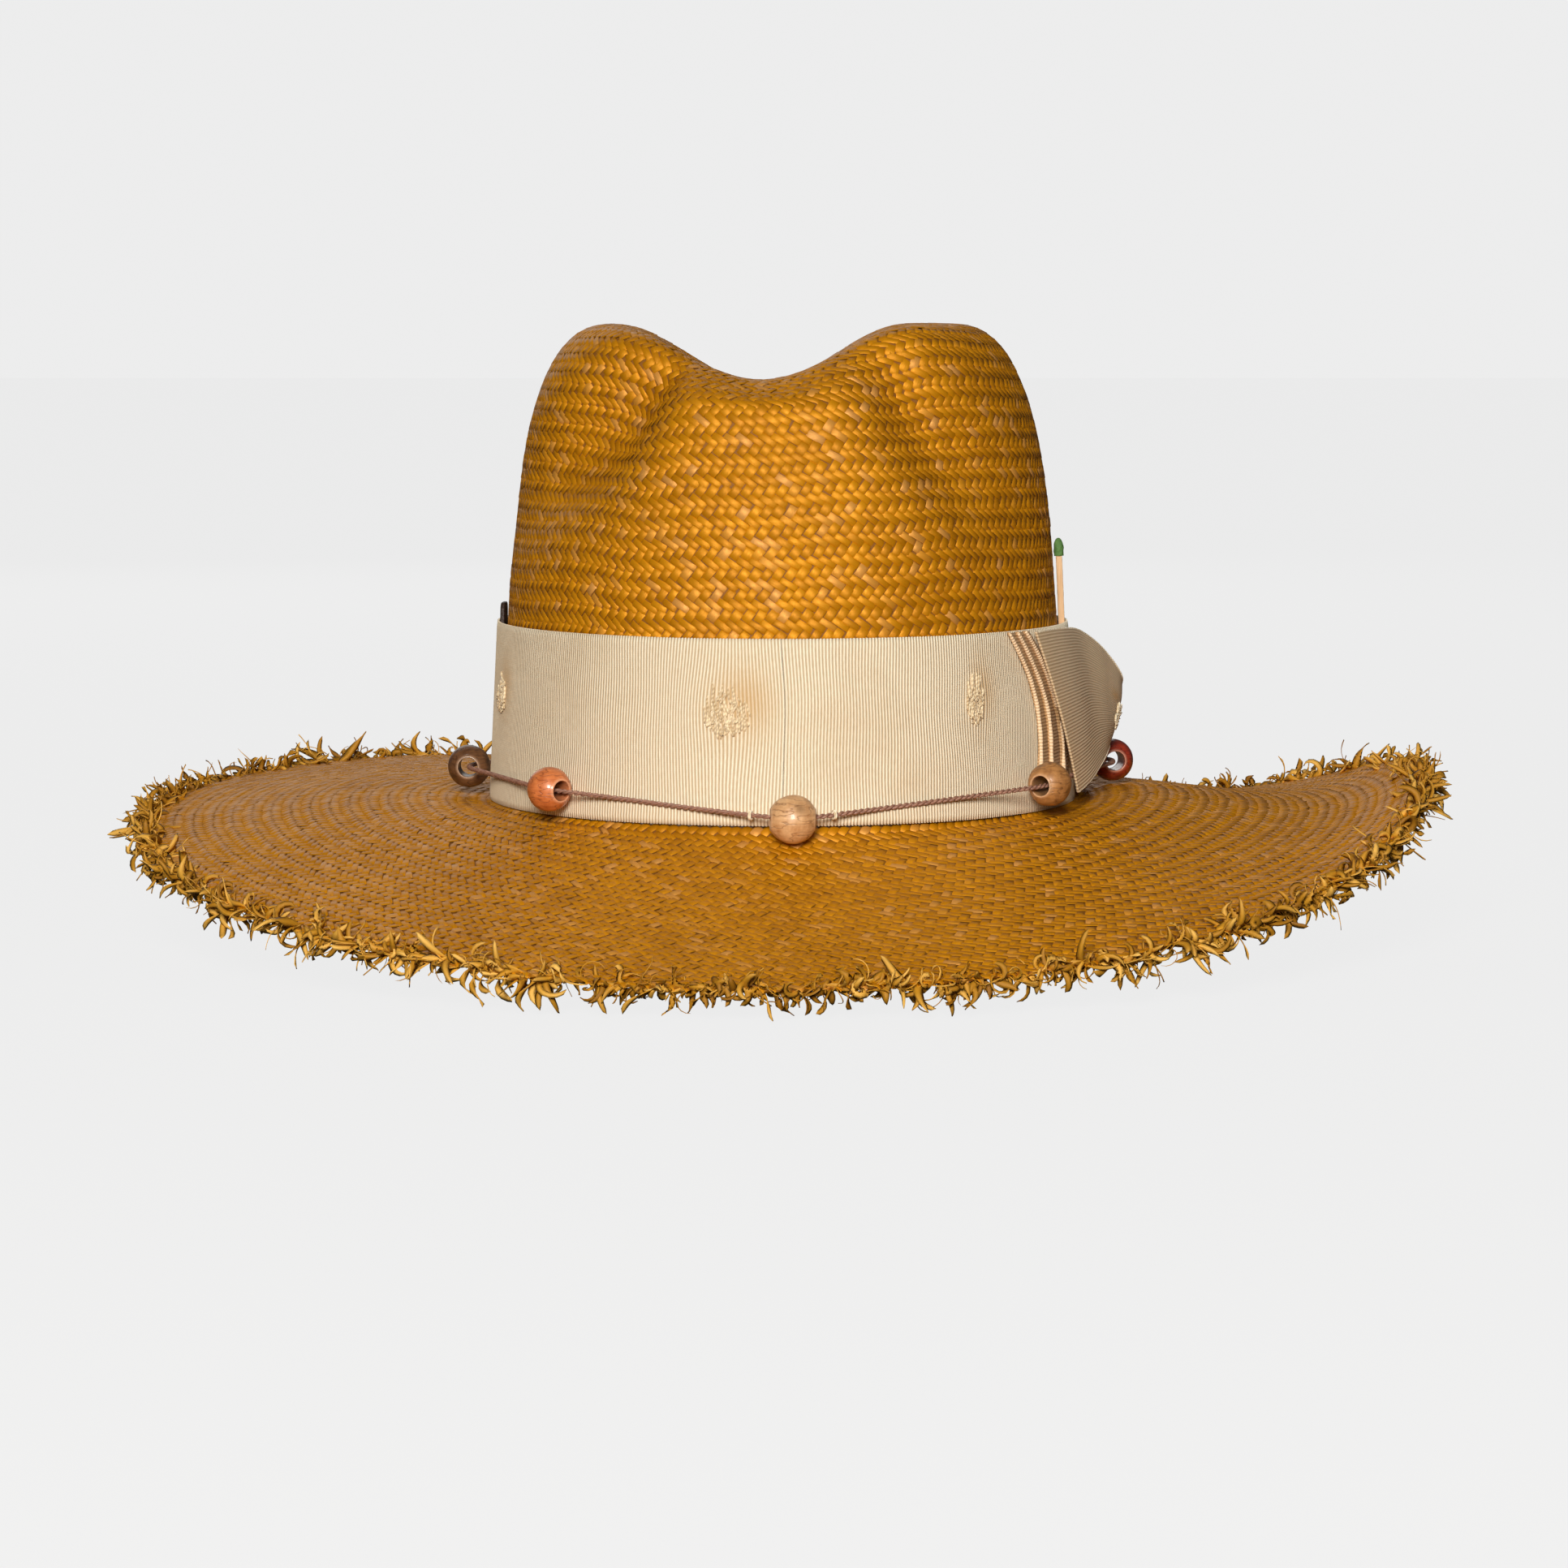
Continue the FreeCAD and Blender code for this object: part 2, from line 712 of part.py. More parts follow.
def makeBead(name):
    """A drilled round bead; its bore lies along its body's Z axis."""
    body = newBody(name)
    sketch = newSketch(body, f"{name}_profile", "XZ_Plane")
    radius, bore = beadWidth(name) / 2, size("bead_bore") / 2
    half = math.sqrt(radius ** 2 - bore ** 2)
    tilt = math.atan2(half, bore)
    ball = Part.ArcOfCircle(Part.Circle(Vector(0, 0, 0), Vector(0, 0, 1), radius), -tilt, tilt)
    sketch.addGeometry(ball, False)
    sketch.addGeometry(Part.LineSegment(Vector(bore, half, 0), Vector(bore, -half, 0)), False)
    sketch.addConstraint(Constraint("Coincident", 0, 3, -1, 1))
    sketch.addConstraint(Constraint("Coincident", 0, 2, 1, 1))
    sketch.addConstraint(Constraint("Coincident", 0, 1, 1, 2))
    sketch.addConstraint(Constraint("Vertical", 1))
    width = sketch.addConstraint(Constraint("Radius", 0, radius))
    hole = sketch.addConstraint(Constraint("DistanceX", -1, 1, 1, 1, bore))
    sketch.renameConstraint(width, "BallRadius")
    sketch.renameConstraint(hole, "BoreRadius")
    cell = "front_bead_diameter" if "front_natural" in name else "bead_diameter"
    bindSketch(sketch, {"BallRadius": f"Sizes.{cell} / 2", "BoreRadius": "Sizes.bead_bore / 2"})
    turned = body.newObject("PartDesign::Revolution", f"{name}_ball")
    turned.Profile = sketch
    turned.ReferenceAxis = (sketch, ["V_Axis"])
    turned.Angle = 360
    doc.recompute()
    rims = [f"Edge{number}" for number, edge in enumerate(turned.Shape.Edges, 1) if edge.Closed]
    worn = body.newObject("PartDesign::Fillet", f"{name}_rim")
    worn.Base = (turned, rims)
    worn.setExpression("Radius", "Sizes.bead_rim")
    body.Tip = worn
    before, after, half = halfTurn(corners, beadCorner(name))
    along = before.normalize() + after.normalize()
    body.Placement = Placement(beadCentre(name), Rotation(Vector(0, 0, 1), along))
    return body


def makeBlock(name, sides, length):
    """An upright block of a rectangular plan; its sides are cells and its length an expression."""
    body = newBody(name)
    sketch = newSketch(body, f"{name}_plan", "XY_Plane")
    x, y = size(sides[0]) / 2, size(sides[1]) / 2
    corners = [Vector(-x, -y, 0), Vector(x, -y, 0), Vector(x, y, 0), Vector(-x, y, 0)]
    for number in range(4):
        sketch.addGeometry(Part.LineSegment(corners[number], corners[(number + 1) % 4]), False)
    for number in range(4):
        sketch.addConstraint(Constraint("Coincident", number, 2, (number + 1) % 4, 1))
        sketch.addConstraint(Constraint("Vertical" if number % 2 else "Horizontal", number))
    sketch.addConstraint(Constraint("Symmetric", 0, 1, 1, 2, -1, 1))
    wide = sketch.addConstraint(Constraint("DistanceX", 0, 1, 0, 2, 2 * x))
    deep = sketch.addConstraint(Constraint("DistanceY", 1, 1, 1, 2, 2 * y))
    sketch.renameConstraint(wide, "Wide")
    sketch.renameConstraint(deep, "Deep")
    bindSketch(sketch, {"Wide": f"Sizes.{sides[0]}", "Deep": f"Sizes.{sides[1]}"})
    pad = body.newObject("PartDesign::Pad", f"{name}_length")
    pad.Profile = sketch
    pad.setExpression("Length", length)
    doc.recompute()
    return body


def leaning(turn, bottom, thick):
    """The foot stands against the crown, and the piece leans out against the band's top edge."""
    spare = size("tuck_room") + size(thick) / 2
    low = size(bottom)
    foot = ovalPoint(turn, strawOffset - wallInset(low) + spare, low)
    rest = ovalPoint(turn, bandOffset(bandTop) - spare, bandTop)
    upright = Rotation(Vector(0, 0, 1), turn - 90)
    return Placement(foot, Rotation(Vector(0, 0, 1), rest - foot) * upright)


def makeStick():
    length = "Sizes.match_top - Sizes.match_bottom - Sizes.match_head_height + Sizes.match_in_head"
    body = makeBlock("match_stick", ["match_width", "match_width"], length)
    body.Placement = leaning(size("match_turn"), "match_bottom", "match_width")
    return body


def makeHead():
    """The dipped head: a turned bulb with a socket for the stick's end."""
    body = newBody("match_head")
    sketch = newSketch(body, "match_head_profile", "XZ_Plane")
    radius, tall = size("match_head_width") / 2, size("match_head_height")
    neck, crest = radius * 0.93, radius * 0.2
    foot = [Vector(0, 0, 0), Vector(neck, 0, 0)]
    waist = Vector(radius, tall * 0.4, 0)
    top = [Vector(crest, tall, 0), Vector(0, tall, 0)]
    profile = [
        Part.LineSegment(*foot),
        Part.Arc(foot[1], Vector(radius * 0.985, tall * 0.2, 0), waist),
        Part.Arc(waist, Vector(radius * 0.8, tall * 0.8, 0), top[0]),
        Part.LineSegment(*top),
        Part.LineSegment(top[1], foot[0]),
    ]
    for line in profile:
        sketch.addGeometry(line, False)
    bulb = body.newObject("PartDesign::Revolution", "match_head_bulb")
    bulb.Profile = sketch
    bulb.ReferenceAxis = (sketch, ["V_Axis"])
    bulb.Angle = 360
    doc.recompute()
    plan = newSketch(body, "match_head_socket_plan", "XY_Plane")
    half = size("match_width") / 2
    corners = [Vector(-half, -half, 0), Vector(half, -half, 0), Vector(half, half, 0), Vector(-half, half, 0)]
    for number in range(4):
        plan.addGeometry(Part.LineSegment(corners[number], corners[(number + 1) % 4]), False)
    socket = body.newObject("PartDesign::Pocket", "match_head_socket")
    socket.Profile = plan
    socket.Reversed = True
    socket.setExpression("Length", "Sizes.match_in_head")
    body.Tip = socket
    doc.recompute()
    if not socket.Shape.Volume < bulb.Shape.Volume:
        raise ValueError("the match head's socket cut nothing")
    stick = leaning(size("match_turn"), "match_bottom", "match_width")
    up = size("match_top") - size("match_head_height") - size("match_bottom")
    body.Placement = stick * Placement(Vector(0, 0, up), Rotation())
    return body


def makeTab():
    body = makeBlock("leather_tab", ["tab_thick", "tab_width"], "Sizes.tab_top - Sizes.tab_bottom")
    pad = body.getObject("leather_tab_length")
    top = pad.Shape.BoundBox.ZMax
    crossEdges = []
    for number, edge in enumerate(pad.Shape.Edges, 1):
        box = edge.BoundBox
        if box.ZMin > top - 0.01 and box.XLength > box.YLength:
            crossEdges.append(f"Edge{number}")
    rounded = body.newObject("PartDesign::Fillet", "leather_tab_corners")
    rounded.Base = (pad, crossEdges)
    rounded.setExpression("Radius", "Sizes.tab_width / 4")
    body.Tip = rounded
    body.Placement = leaning(size("tab_turn"), "tab_bottom", "tab_thick")
    return body


def addShape(name, shape):
    feature = doc.addObject("Part::Feature", name)
    feature.Label = name
    feature.Shape = shape
    feature.Placement = Placement()
    return feature


corners = routeThroughBeads()
radii = cordRadii(corners)
route = cordWire(corners, radii)
print("cord length", round(route.Length, 1), "radii", [round(radius) for radius in radii])

nodes = [
    addShape("crown", crownShape()),
    addShape("brim", brimShape()),
    addShape("frayed_edge", fringeShape()),
    addShape("sweatband", sweatbandShape()),
    addShape("sweatband_reed", reedShape()),
    addShape("sweatband_stitches", stitchShape()),
    addShape("hat_band", bandShape()),
    addShape("bow_pleats", pleatShape()),
    addShape("bow_loop", loopShape()),
    addShape("bow_folded_tail", padShape()),
    addShape("bead_cord", closedTube(route, cordRadius)),
    addShape("cord_tack_stitches", tackShape(route)),
    addShape("cord_knot", knotShape(route)),
    makeStick(),
    makeHead(),
    makeTab(),
]
nodes += [makeBead(name) for name in beads]
doc.recompute()

for item in doc.Objects:
    if {"Invalid", "Error"} & set(item.State):
        raise ValueError(f"{item.Label} is {item.State}")
for node in nodes:
    if node.Shape.isNull() or not node.Shape.isValid() or node.Shape.Volume <= 0:
        raise ValueError(f"{node.Label} has no sound shape")

os.makedirs("parts", exist_ok=True)
for node in nodes:
    node.Shape.exportStep(f"parts/{node.Label}.step")
    print(node.Label, round(node.Shape.Volume), len(node.Shape.Solids))
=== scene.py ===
import bpy
import bmesh
import json
import math
import random
import numpy as np
from mathutils import Matrix, Vector
from mathutils.bvhtree import BVHTree


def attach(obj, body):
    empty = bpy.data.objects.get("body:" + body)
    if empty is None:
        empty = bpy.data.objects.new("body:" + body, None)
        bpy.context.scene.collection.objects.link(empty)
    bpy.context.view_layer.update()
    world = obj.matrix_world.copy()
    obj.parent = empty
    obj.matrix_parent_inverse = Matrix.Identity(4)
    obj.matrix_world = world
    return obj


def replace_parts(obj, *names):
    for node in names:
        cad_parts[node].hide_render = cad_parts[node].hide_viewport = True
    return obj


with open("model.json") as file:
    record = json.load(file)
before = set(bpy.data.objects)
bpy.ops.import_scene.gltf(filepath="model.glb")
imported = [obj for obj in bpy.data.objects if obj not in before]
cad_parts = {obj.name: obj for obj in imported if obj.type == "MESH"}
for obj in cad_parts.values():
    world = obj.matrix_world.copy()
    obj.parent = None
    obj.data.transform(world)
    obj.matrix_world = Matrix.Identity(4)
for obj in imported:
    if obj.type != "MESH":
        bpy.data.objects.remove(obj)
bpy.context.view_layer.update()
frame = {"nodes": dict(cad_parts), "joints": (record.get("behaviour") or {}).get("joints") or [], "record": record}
bpy.ops.object.select_all(action="DESELECT")
mm = 0.001
joints = {joint["name"]: joint for joint in frame["joints"]}

# ---- camera, floor and lights ----
print("stage")

camera = {"place": (0.0005, -1.8, 0.1526), "aim": (0.0005, 0, 0.0047), "lens": 137.2, "sensor": 36}
studio = {
    "floorWide": 24.0, "floorGlow": 0.825, "floorTint": (0.045, 0.045, 0.045), "screenPale": 0.845,
    "airTint": (1.0, 0.98, 0.95), "air": 0.045,
    "key": {"place": (-0.15, -2.34, 0.76), "wide": 0.6, "power": 70, "tint": (1.0, 0.965, 0.91)},
    "fill": {"place": (1.7, -1.3, 0.9), "wide": 1.4, "power": 1.2, "tint": (1.0, 0.97, 0.93)},
    "rim": {"place": (-0.5, 2.1, 1.0), "wide": 1.6, "power": 9, "tint": (1.0, 0.98, 0.95)},
}


def aimed(thing, aim):
    thing.rotation_euler = (Vector(aim) - thing.location).to_track_quat("-Z", "Y").to_euler()


lens = bpy.data.cameras.new("camera")
lens.lens = camera["lens"]
lens.sensor_width = camera["sensor"]
lens.clip_end = 20
eye = bpy.data.objects.new("camera", lens)
eye.location = camera["place"]
aimed(eye, camera["aim"])
bpy.context.scene.collection.objects.link(eye)
bpy.context.scene.camera = eye
bpy.context.scene.view_settings.view_transform = "Standard"

for lampName in ("key", "fill", "rim"):
    lamp = studio[lampName]
    light = bpy.data.lights.new(lampName, "AREA")
    light.size = lamp["wide"]
    light.energy = lamp["power"]
    light.color = lamp["tint"]
    lightObject = bpy.data.objects.new(lampName, light)
    lightObject.location = lamp["place"]
    aimed(lightObject, (0, 0, 0.03))
    bpy.context.scene.collection.objects.link(lightObject)

world = bpy.data.worlds.new("air")
bpy.context.scene.world = world
world.use_nodes = True
air = world.node_tree.nodes["Background"]
air.inputs["Color"].default_value = (*studio["airTint"], 1)
air.inputs["Strength"].default_value = studio["air"]
screen = world.node_tree.nodes.new("ShaderNodeBackground")  # what the camera sees behind the hat
screen.inputs["Color"].default_value = (1, 1, 1, 1)
screen.inputs["Strength"].default_value = studio["screenPale"]
path = world.node_tree.nodes.new("ShaderNodeLightPath")
either = world.node_tree.nodes.new("ShaderNodeMixShader")
world.node_tree.links.new(path.outputs["Is Camera Ray"], either.inputs[0])
world.node_tree.links.new(air.outputs[0], either.inputs[1])
world.node_tree.links.new(screen.outputs[0], either.inputs[2])
world.node_tree.links.new(either.outputs[0], world.node_tree.nodes["World Output"].inputs[0])


# ---- shader sums ----

class Wire:
    # a socket; sums on it add Math nodes to its material
    def __init__(self, finish, socket):
        self.finish, self.socket = finish, socket

    def sum(self, operation, *values):
        return self.finish.node("Math", {"operation": operation}, *values)[0]

    def __add__(self, other): return self.sum("ADD", self, other)
    def __radd__(self, other): return self.sum("ADD", other, self)
    def __sub__(self, other): return self.sum("SUBTRACT", self, other)
    def __rsub__(self, other): return self.sum("SUBTRACT", other, self)
    def __mul__(self, other): return self.sum("MULTIPLY", self, other)
    def __rmul__(self, other): return self.sum("MULTIPLY", other, self)
    def __truediv__(self, other): return self.sum("DIVIDE", self, other)
    def sine(self): return self.sum("SINE", self)
    def clip(self): return self.sum("MAXIMUM", self.sum("MINIMUM", self, 1), 0)
    def above(self, low, high): return ((self - low) / (high - low)).clip()


class Finish:
    # a material, its main shader and the nodes that feed it
    def __init__(self, name, **constants):
        self.material = bpy.data.materials.new(name)
        self.material.use_nodes = True
        self.tree = self.material.node_tree
        self.shader = self.tree.nodes["Principled BSDF"]
        for socketName, value in constants.items():
            self.shader.inputs[socketName.replace("_", " ")].default_value = value

    def node(self, kind, settings, *values, **named):
        made = self.tree.nodes.new("ShaderNode" + kind)
        for setting, value in settings.items():
            if setting == "stops":
                ramp = made.color_ramp
                while len(ramp.elements) < len(value):
                    ramp.elements.new(0.5)
                for element, (place, tint) in zip(ramp.elements, value):
                    element.position = place
                    element.color = (*tint, 1)
            else:
                setattr(made, setting, value)
        feeds = list(zip(made.inputs, values))
        feeds += [(made.inputs[socketName.replace("_", " ")], value) for socketName, value in named.items()]
        for socket, value in feeds:
            self.feed(socket, value)
        return [Wire(self, socket) for socket in made.outputs if socket.enabled]

    def feed(self, socket, value):
        if isinstance(value, Wire):
            self.tree.links.new(value.socket, socket)
        elif getattr(socket.default_value, "__len__", lambda: 0)() == 4 and len(value) == 3:
            socket.default_value = (*value, 1)
        else:
            socket.default_value = value

    def place(self):
        return self.node("TexCoord", {"object": None})[3]

    def chart(self):
        return self.node("UVMap", {"uv_map": "UVMap"})[0]

    def value(self, attribute):
        return self.node("Attribute", {"attribute_name": attribute})[2]

    def scaled(self, vector, scale):
        return self.node("Mapping", {}, Vector=vector, Scale=scale)[0]

    def noise(self, vector, scale, detail=3, roughness=0.55):
        return self.node("TexNoise", {}, Vector=vector, Scale=scale, Detail=detail, Roughness=roughness)[0]

    def mix(self, factor, first, second):
        made = self.tree.nodes.new("ShaderNodeMix")
        made.data_type = "RGBA"
        self.feed(made.inputs[0], factor)
        self.feed(made.inputs[6], first)
        self.feed(made.inputs[7], second)
        return Wire(self, made.outputs[2])

    def ramp(self, factor, *stops):
        return self.node("ValToRGB", {"stops": stops}, factor)[0]

    def bumped(self, height, distance, strength=1.0):
        normal = self.node("Bump", {}, Strength=strength, Distance=distance, Height=height)[0]
        self.feed(self.shader.inputs["Normal"], normal)

    def paint(self, **feeds):
        for socketName, value in feeds.items():
            self.feed(self.shader.inputs[socketName.replace("_", " ")], value)
        return self.material


def srgb(*levels):
    # screen levels of 0 to 255 to the linear light that sockets hold
    shares = [level / 255 for level in levels]
    return tuple(s / 12.92 if s < 0.04045 else ((s + 0.055) / 1.055) ** 2.4 for s in shares)


# ---- pieces and their finishes ----

def makePiece(name, mesh, material, smooth=True):
    piece = bpy.data.objects.new(name, mesh)
    bpy.context.scene.collection.objects.link(piece)
    mesh.materials.clear()
    mesh.materials.append(material)
    mesh.polygons.foreach_set("use_smooth", [smooth] * len(mesh.polygons))
    mesh.update()
    return piece


def meshFrom(name, points, quads, chart=None, values=None):
    # a mesh from arrays of points and four-cornered faces, with a UV map and named values per point
    mesh = bpy.data.meshes.new(name)
    mesh.vertices.add(len(points))
    mesh.vertices.foreach_set("co", np.asarray(points, np.float32).ravel())
    mesh.loops.add(quads.size)
    mesh.loops.foreach_set("vertex_index", quads.ravel().astype(np.int32))
    mesh.polygons.add(len(quads))
    mesh.polygons.foreach_set("loop_start", np.arange(0, quads.size, quads.shape[1], dtype=np.int32))
    mesh.update(calc_edges=True)
    if chart is not None:
        layer = mesh.uv_layers.new(name="UVMap")
        layer.data.foreach_set("uv", np.asarray(chart, np.float32)[quads.ravel()].ravel())
    for valueName, numbers in (values or {}).items():
        layer = mesh.attributes.new(valueName, "FLOAT", "POINT")
        layer.data.foreach_set("value", np.asarray(numbers, np.float32))
    return mesh


def gridQuads(rows, columns, closeRows=False, closeColumns=False):
    # faces of a grid whose point number is row * columns + column
    row = np.arange(rows if closeRows else rows - 1)[:, None]
    column = np.arange(columns if closeColumns else columns - 1)[None, :]
    nextRow, nextColumn = (row + 1) % rows, (column + 1) % columns
    corners = [row * columns + column, row * columns + nextColumn,
               nextRow * columns + nextColumn, nextRow * columns + column]
    return np.stack([corner.ravel() for corner in corners], 1)


# ---- the head's oval, of four arcs ----

head = {"halfWidth": 83.2 * mm, "halfLength": 100.2 * mm, "endTighter": 10 * mm}
endRadius = head["halfWidth"] - head["endTighter"]
endCentre = head["halfLength"] - endRadius
sideRadius = (head["halfWidth"] ** 2 + endCentre ** 2 - endRadius ** 2) / (2 * head["endTighter"])
sideCentre = sideRadius - head["halfWidth"]
joinTurn = math.degrees(math.atan2(sideCentre, endCentre))


def hump(value, middle, wide):
    # 1 at the middle, falling away smoothly on both sides
    return np.exp(-((value - middle) / wide) ** 2)


def oval(turn, offset):
    # x and y of points a distance outside the head's oval, by the direction that they face
    turn = (np.asarray(turn, float) + 180) % 360 - 180
    front, back = np.abs(turn) < joinTurn, np.abs(turn) > 180 - joinTurn
    radius = np.where(front | back, endRadius, sideRadius) + offset
    centreX = np.where(front | back, 0, -np.sign(turn) * sideCentre)
    centreY = np.where(front, -endCentre, np.where(back, endCentre, 0))
    angle = np.radians(turn)
    return centreX + np.sin(angle) * radius, centreY - np.cos(angle) * radius


fineTurns = np.linspace(0, 360, 3601)


def evenTurns(shares, offset):
    # turns at even shares of the way round the oval
    x, y = oval(fineTurns, offset)
    steps = np.hypot(np.diff(x), np.diff(y))
    length = np.concatenate([[0], np.cumsum(steps)])
    return np.interp(np.asarray(shares) % 1 * length[-1], length, fineTurns), length[-1]


def standing(turn, offset, height):
    x, y = oval(turn, offset)
    return np.stack([x, y, np.broadcast_to(height, x.shape)], -1)


# ---- the woven straw ----
print("straw")

straw = {
    "rowPitch": 6.05 * mm, "columnPitch": 3.4 * mm, "rowShift": 0.32,
    "long": {"length": 6.0 * mm, "width": 2.02 * mm, "lean": -33, "rise": 0.25, "slide": 0.0},
    "short": {"length": 4.1 * mm, "width": 2.62 * mm, "lean": 52, "rise": 0.75, "slide": 0.24},
    "lift": 0.12 * mm, "dive": 0.75 * mm, "edgeDrop": 0.26 * mm, "seed": 7,
    "crownMiddle": 60 * mm, "crownFoot": 2 * mm, "wallOffset": 3 * mm, "brimReach": 110 * mm, "brimMiddle": 50 * mm,
    "crownColumns": 240, "crownSteps": 100, "brimColumns": 300, "brimStations": 71,
}
strawLight, strawDark = srgb(226, 152, 10), srgb(172, 108, 0)


def nodeTree(nodeName):
    mesh = frame["nodes"][nodeName].data
    mesh.calc_loop_triangles()
    return BVHTree.FromPolygons([v.co for v in mesh.vertices], [t.vertices for t in mesh.loop_triangles])


def smoothed(grid, times=2):
    # evens out a grid that is closed along its first axis
    for count in range(times):
        grid = (np.roll(grid, 1, 0) + 2 * grid + np.roll(grid, -1, 0)) / 4
        grid[:, 1:-1] = (grid[:, :-2] + 2 * grid[:, 1:-1] + grid[:, 2:]) / 4
    return grid


def evenRows(grid, count):
    # spaces each column's points evenly along its own length
    steps = np.linalg.norm(np.diff(grid, axis=1), axis=2)
    lengths = np.concatenate([np.zeros((len(grid), 1)), np.cumsum(steps, 1)], 1)
    shares = np.linspace(0, 1, count)
    columns = []
    for column, length in zip(grid, lengths):
        places = shares * length[-1]
        columns.append(np.stack([np.interp(places, length, column[:, axis]) for axis in range(3)], 1))
    return np.array(columns), lengths[:, -1].mean()


def crownGrid(outside):
    tree = nodeTree("crown")
    middle = Vector((0, 0, straw["crownMiddle"]))
    turns = evenTurns(np.arange(straw["crownColumns"]) / straw["crownColumns"], straw["wallOffset"])[0]
    foot = standing(turns, straw["wallOffset"], straw["crownFoot"])
    steps = straw["crownSteps"]
    grid = np.zeros((straw["crownColumns"], steps + 1, 3))
    for number, place in enumerate(foot):
        plan = Vector((place[0], place[1], 0))
        low = math.atan2(straw["crownFoot"] - straw["crownMiddle"], plan.length)
        plan.normalize()
        for step in range(steps + 1):
            rise = low + (math.pi / 2 - low) * step / steps
            ray = plan * math.cos(rise) + Vector((0, 0, math.sin(rise)))
            start = middle + ray * 0.4 if outside else middle
            hit = tree.ray_cast(start, -ray if outside else ray)[0]
            if hit is None:
                hit = Vector(grid[number, step - 1]) if step else Vector(place)
            grid[number, step] = hit
    return smoothed(grid)


def brimGrid(above):
    # columns run from the edge in to the crown above, and the other way below
    tree = nodeTree("brim")
    columns, stations = straw["brimColumns"], straw["brimStations"]
    turns = evenTurns(np.arange(columns) / columns, straw["wallOffset"] + straw["brimMiddle"])[0]
    side = 1 if above else -1
    grid = np.zeros((columns, stations, 3))

    def surface(turn, out):
        place = standing(turn, straw["wallOffset"] + out, 0.3 * side)
        return tree.ray_cast(Vector(place), Vector((0, 0, -side)))[0]

    for number, turn in enumerate(turns):
        reach = straw["brimReach"]
        while surface(turn, reach) is None:
            reach -= 0.3 * mm
        inmost = 0.4 * mm if above else -1 * mm
        for step, out in enumerate(np.linspace(reach, inmost, stations)):
            hit = surface(turn, out)
            grid[number, step] = hit if hit else grid[number, step - 1]
    return smoothed(grid if above else grid[:, ::-1])


class Skin:
    # a smooth surface read from a grid, by the share of the way round and the share up
    def __init__(self, grid, inward=False):
        self.grid, self.climb = evenRows(grid, 161)
        self.inward = inward

    def at(self, round_, up):
        columns, rows = self.grid.shape[:2]
        a, b = (round_ % 1) * columns, np.clip(up, 0, 1) * (rows - 1)
        i, j = np.floor(a).astype(int), np.minimum(np.floor(b).astype(int), rows - 2)
        s, t = (a - i)[..., None], (b - j)[..., None]
        i, after = i % columns, (i + 1) % columns
        below = self.grid[i, j] * (1 - s) + self.grid[after, j] * s
        above = self.grid[i, j + 1] * (1 - s) + self.grid[after, j + 1] * s
        return below * (1 - t) + above * t

    def axes(self, round_, up):
        along = self.at(round_ + 0.004, up) - self.at(round_ - 0.004, up)
        rise = self.at(round_, up + 0.008) - self.at(round_, up - 0.008)
        if self.inward:
            along = -along
        along /= np.linalg.norm(along, axis=-1, keepdims=True)
        out = np.cross(along, rise)
        out /= np.linalg.norm(out, axis=-1, keepdims=True)
        return along, np.cross(out, along), out

    def girth(self, up):
        ring = self.at(np.arange(240) / 240, np.full(240, up))
        return np.linalg.norm(np.roll(ring, -1, 0) - ring, axis=1).sum()


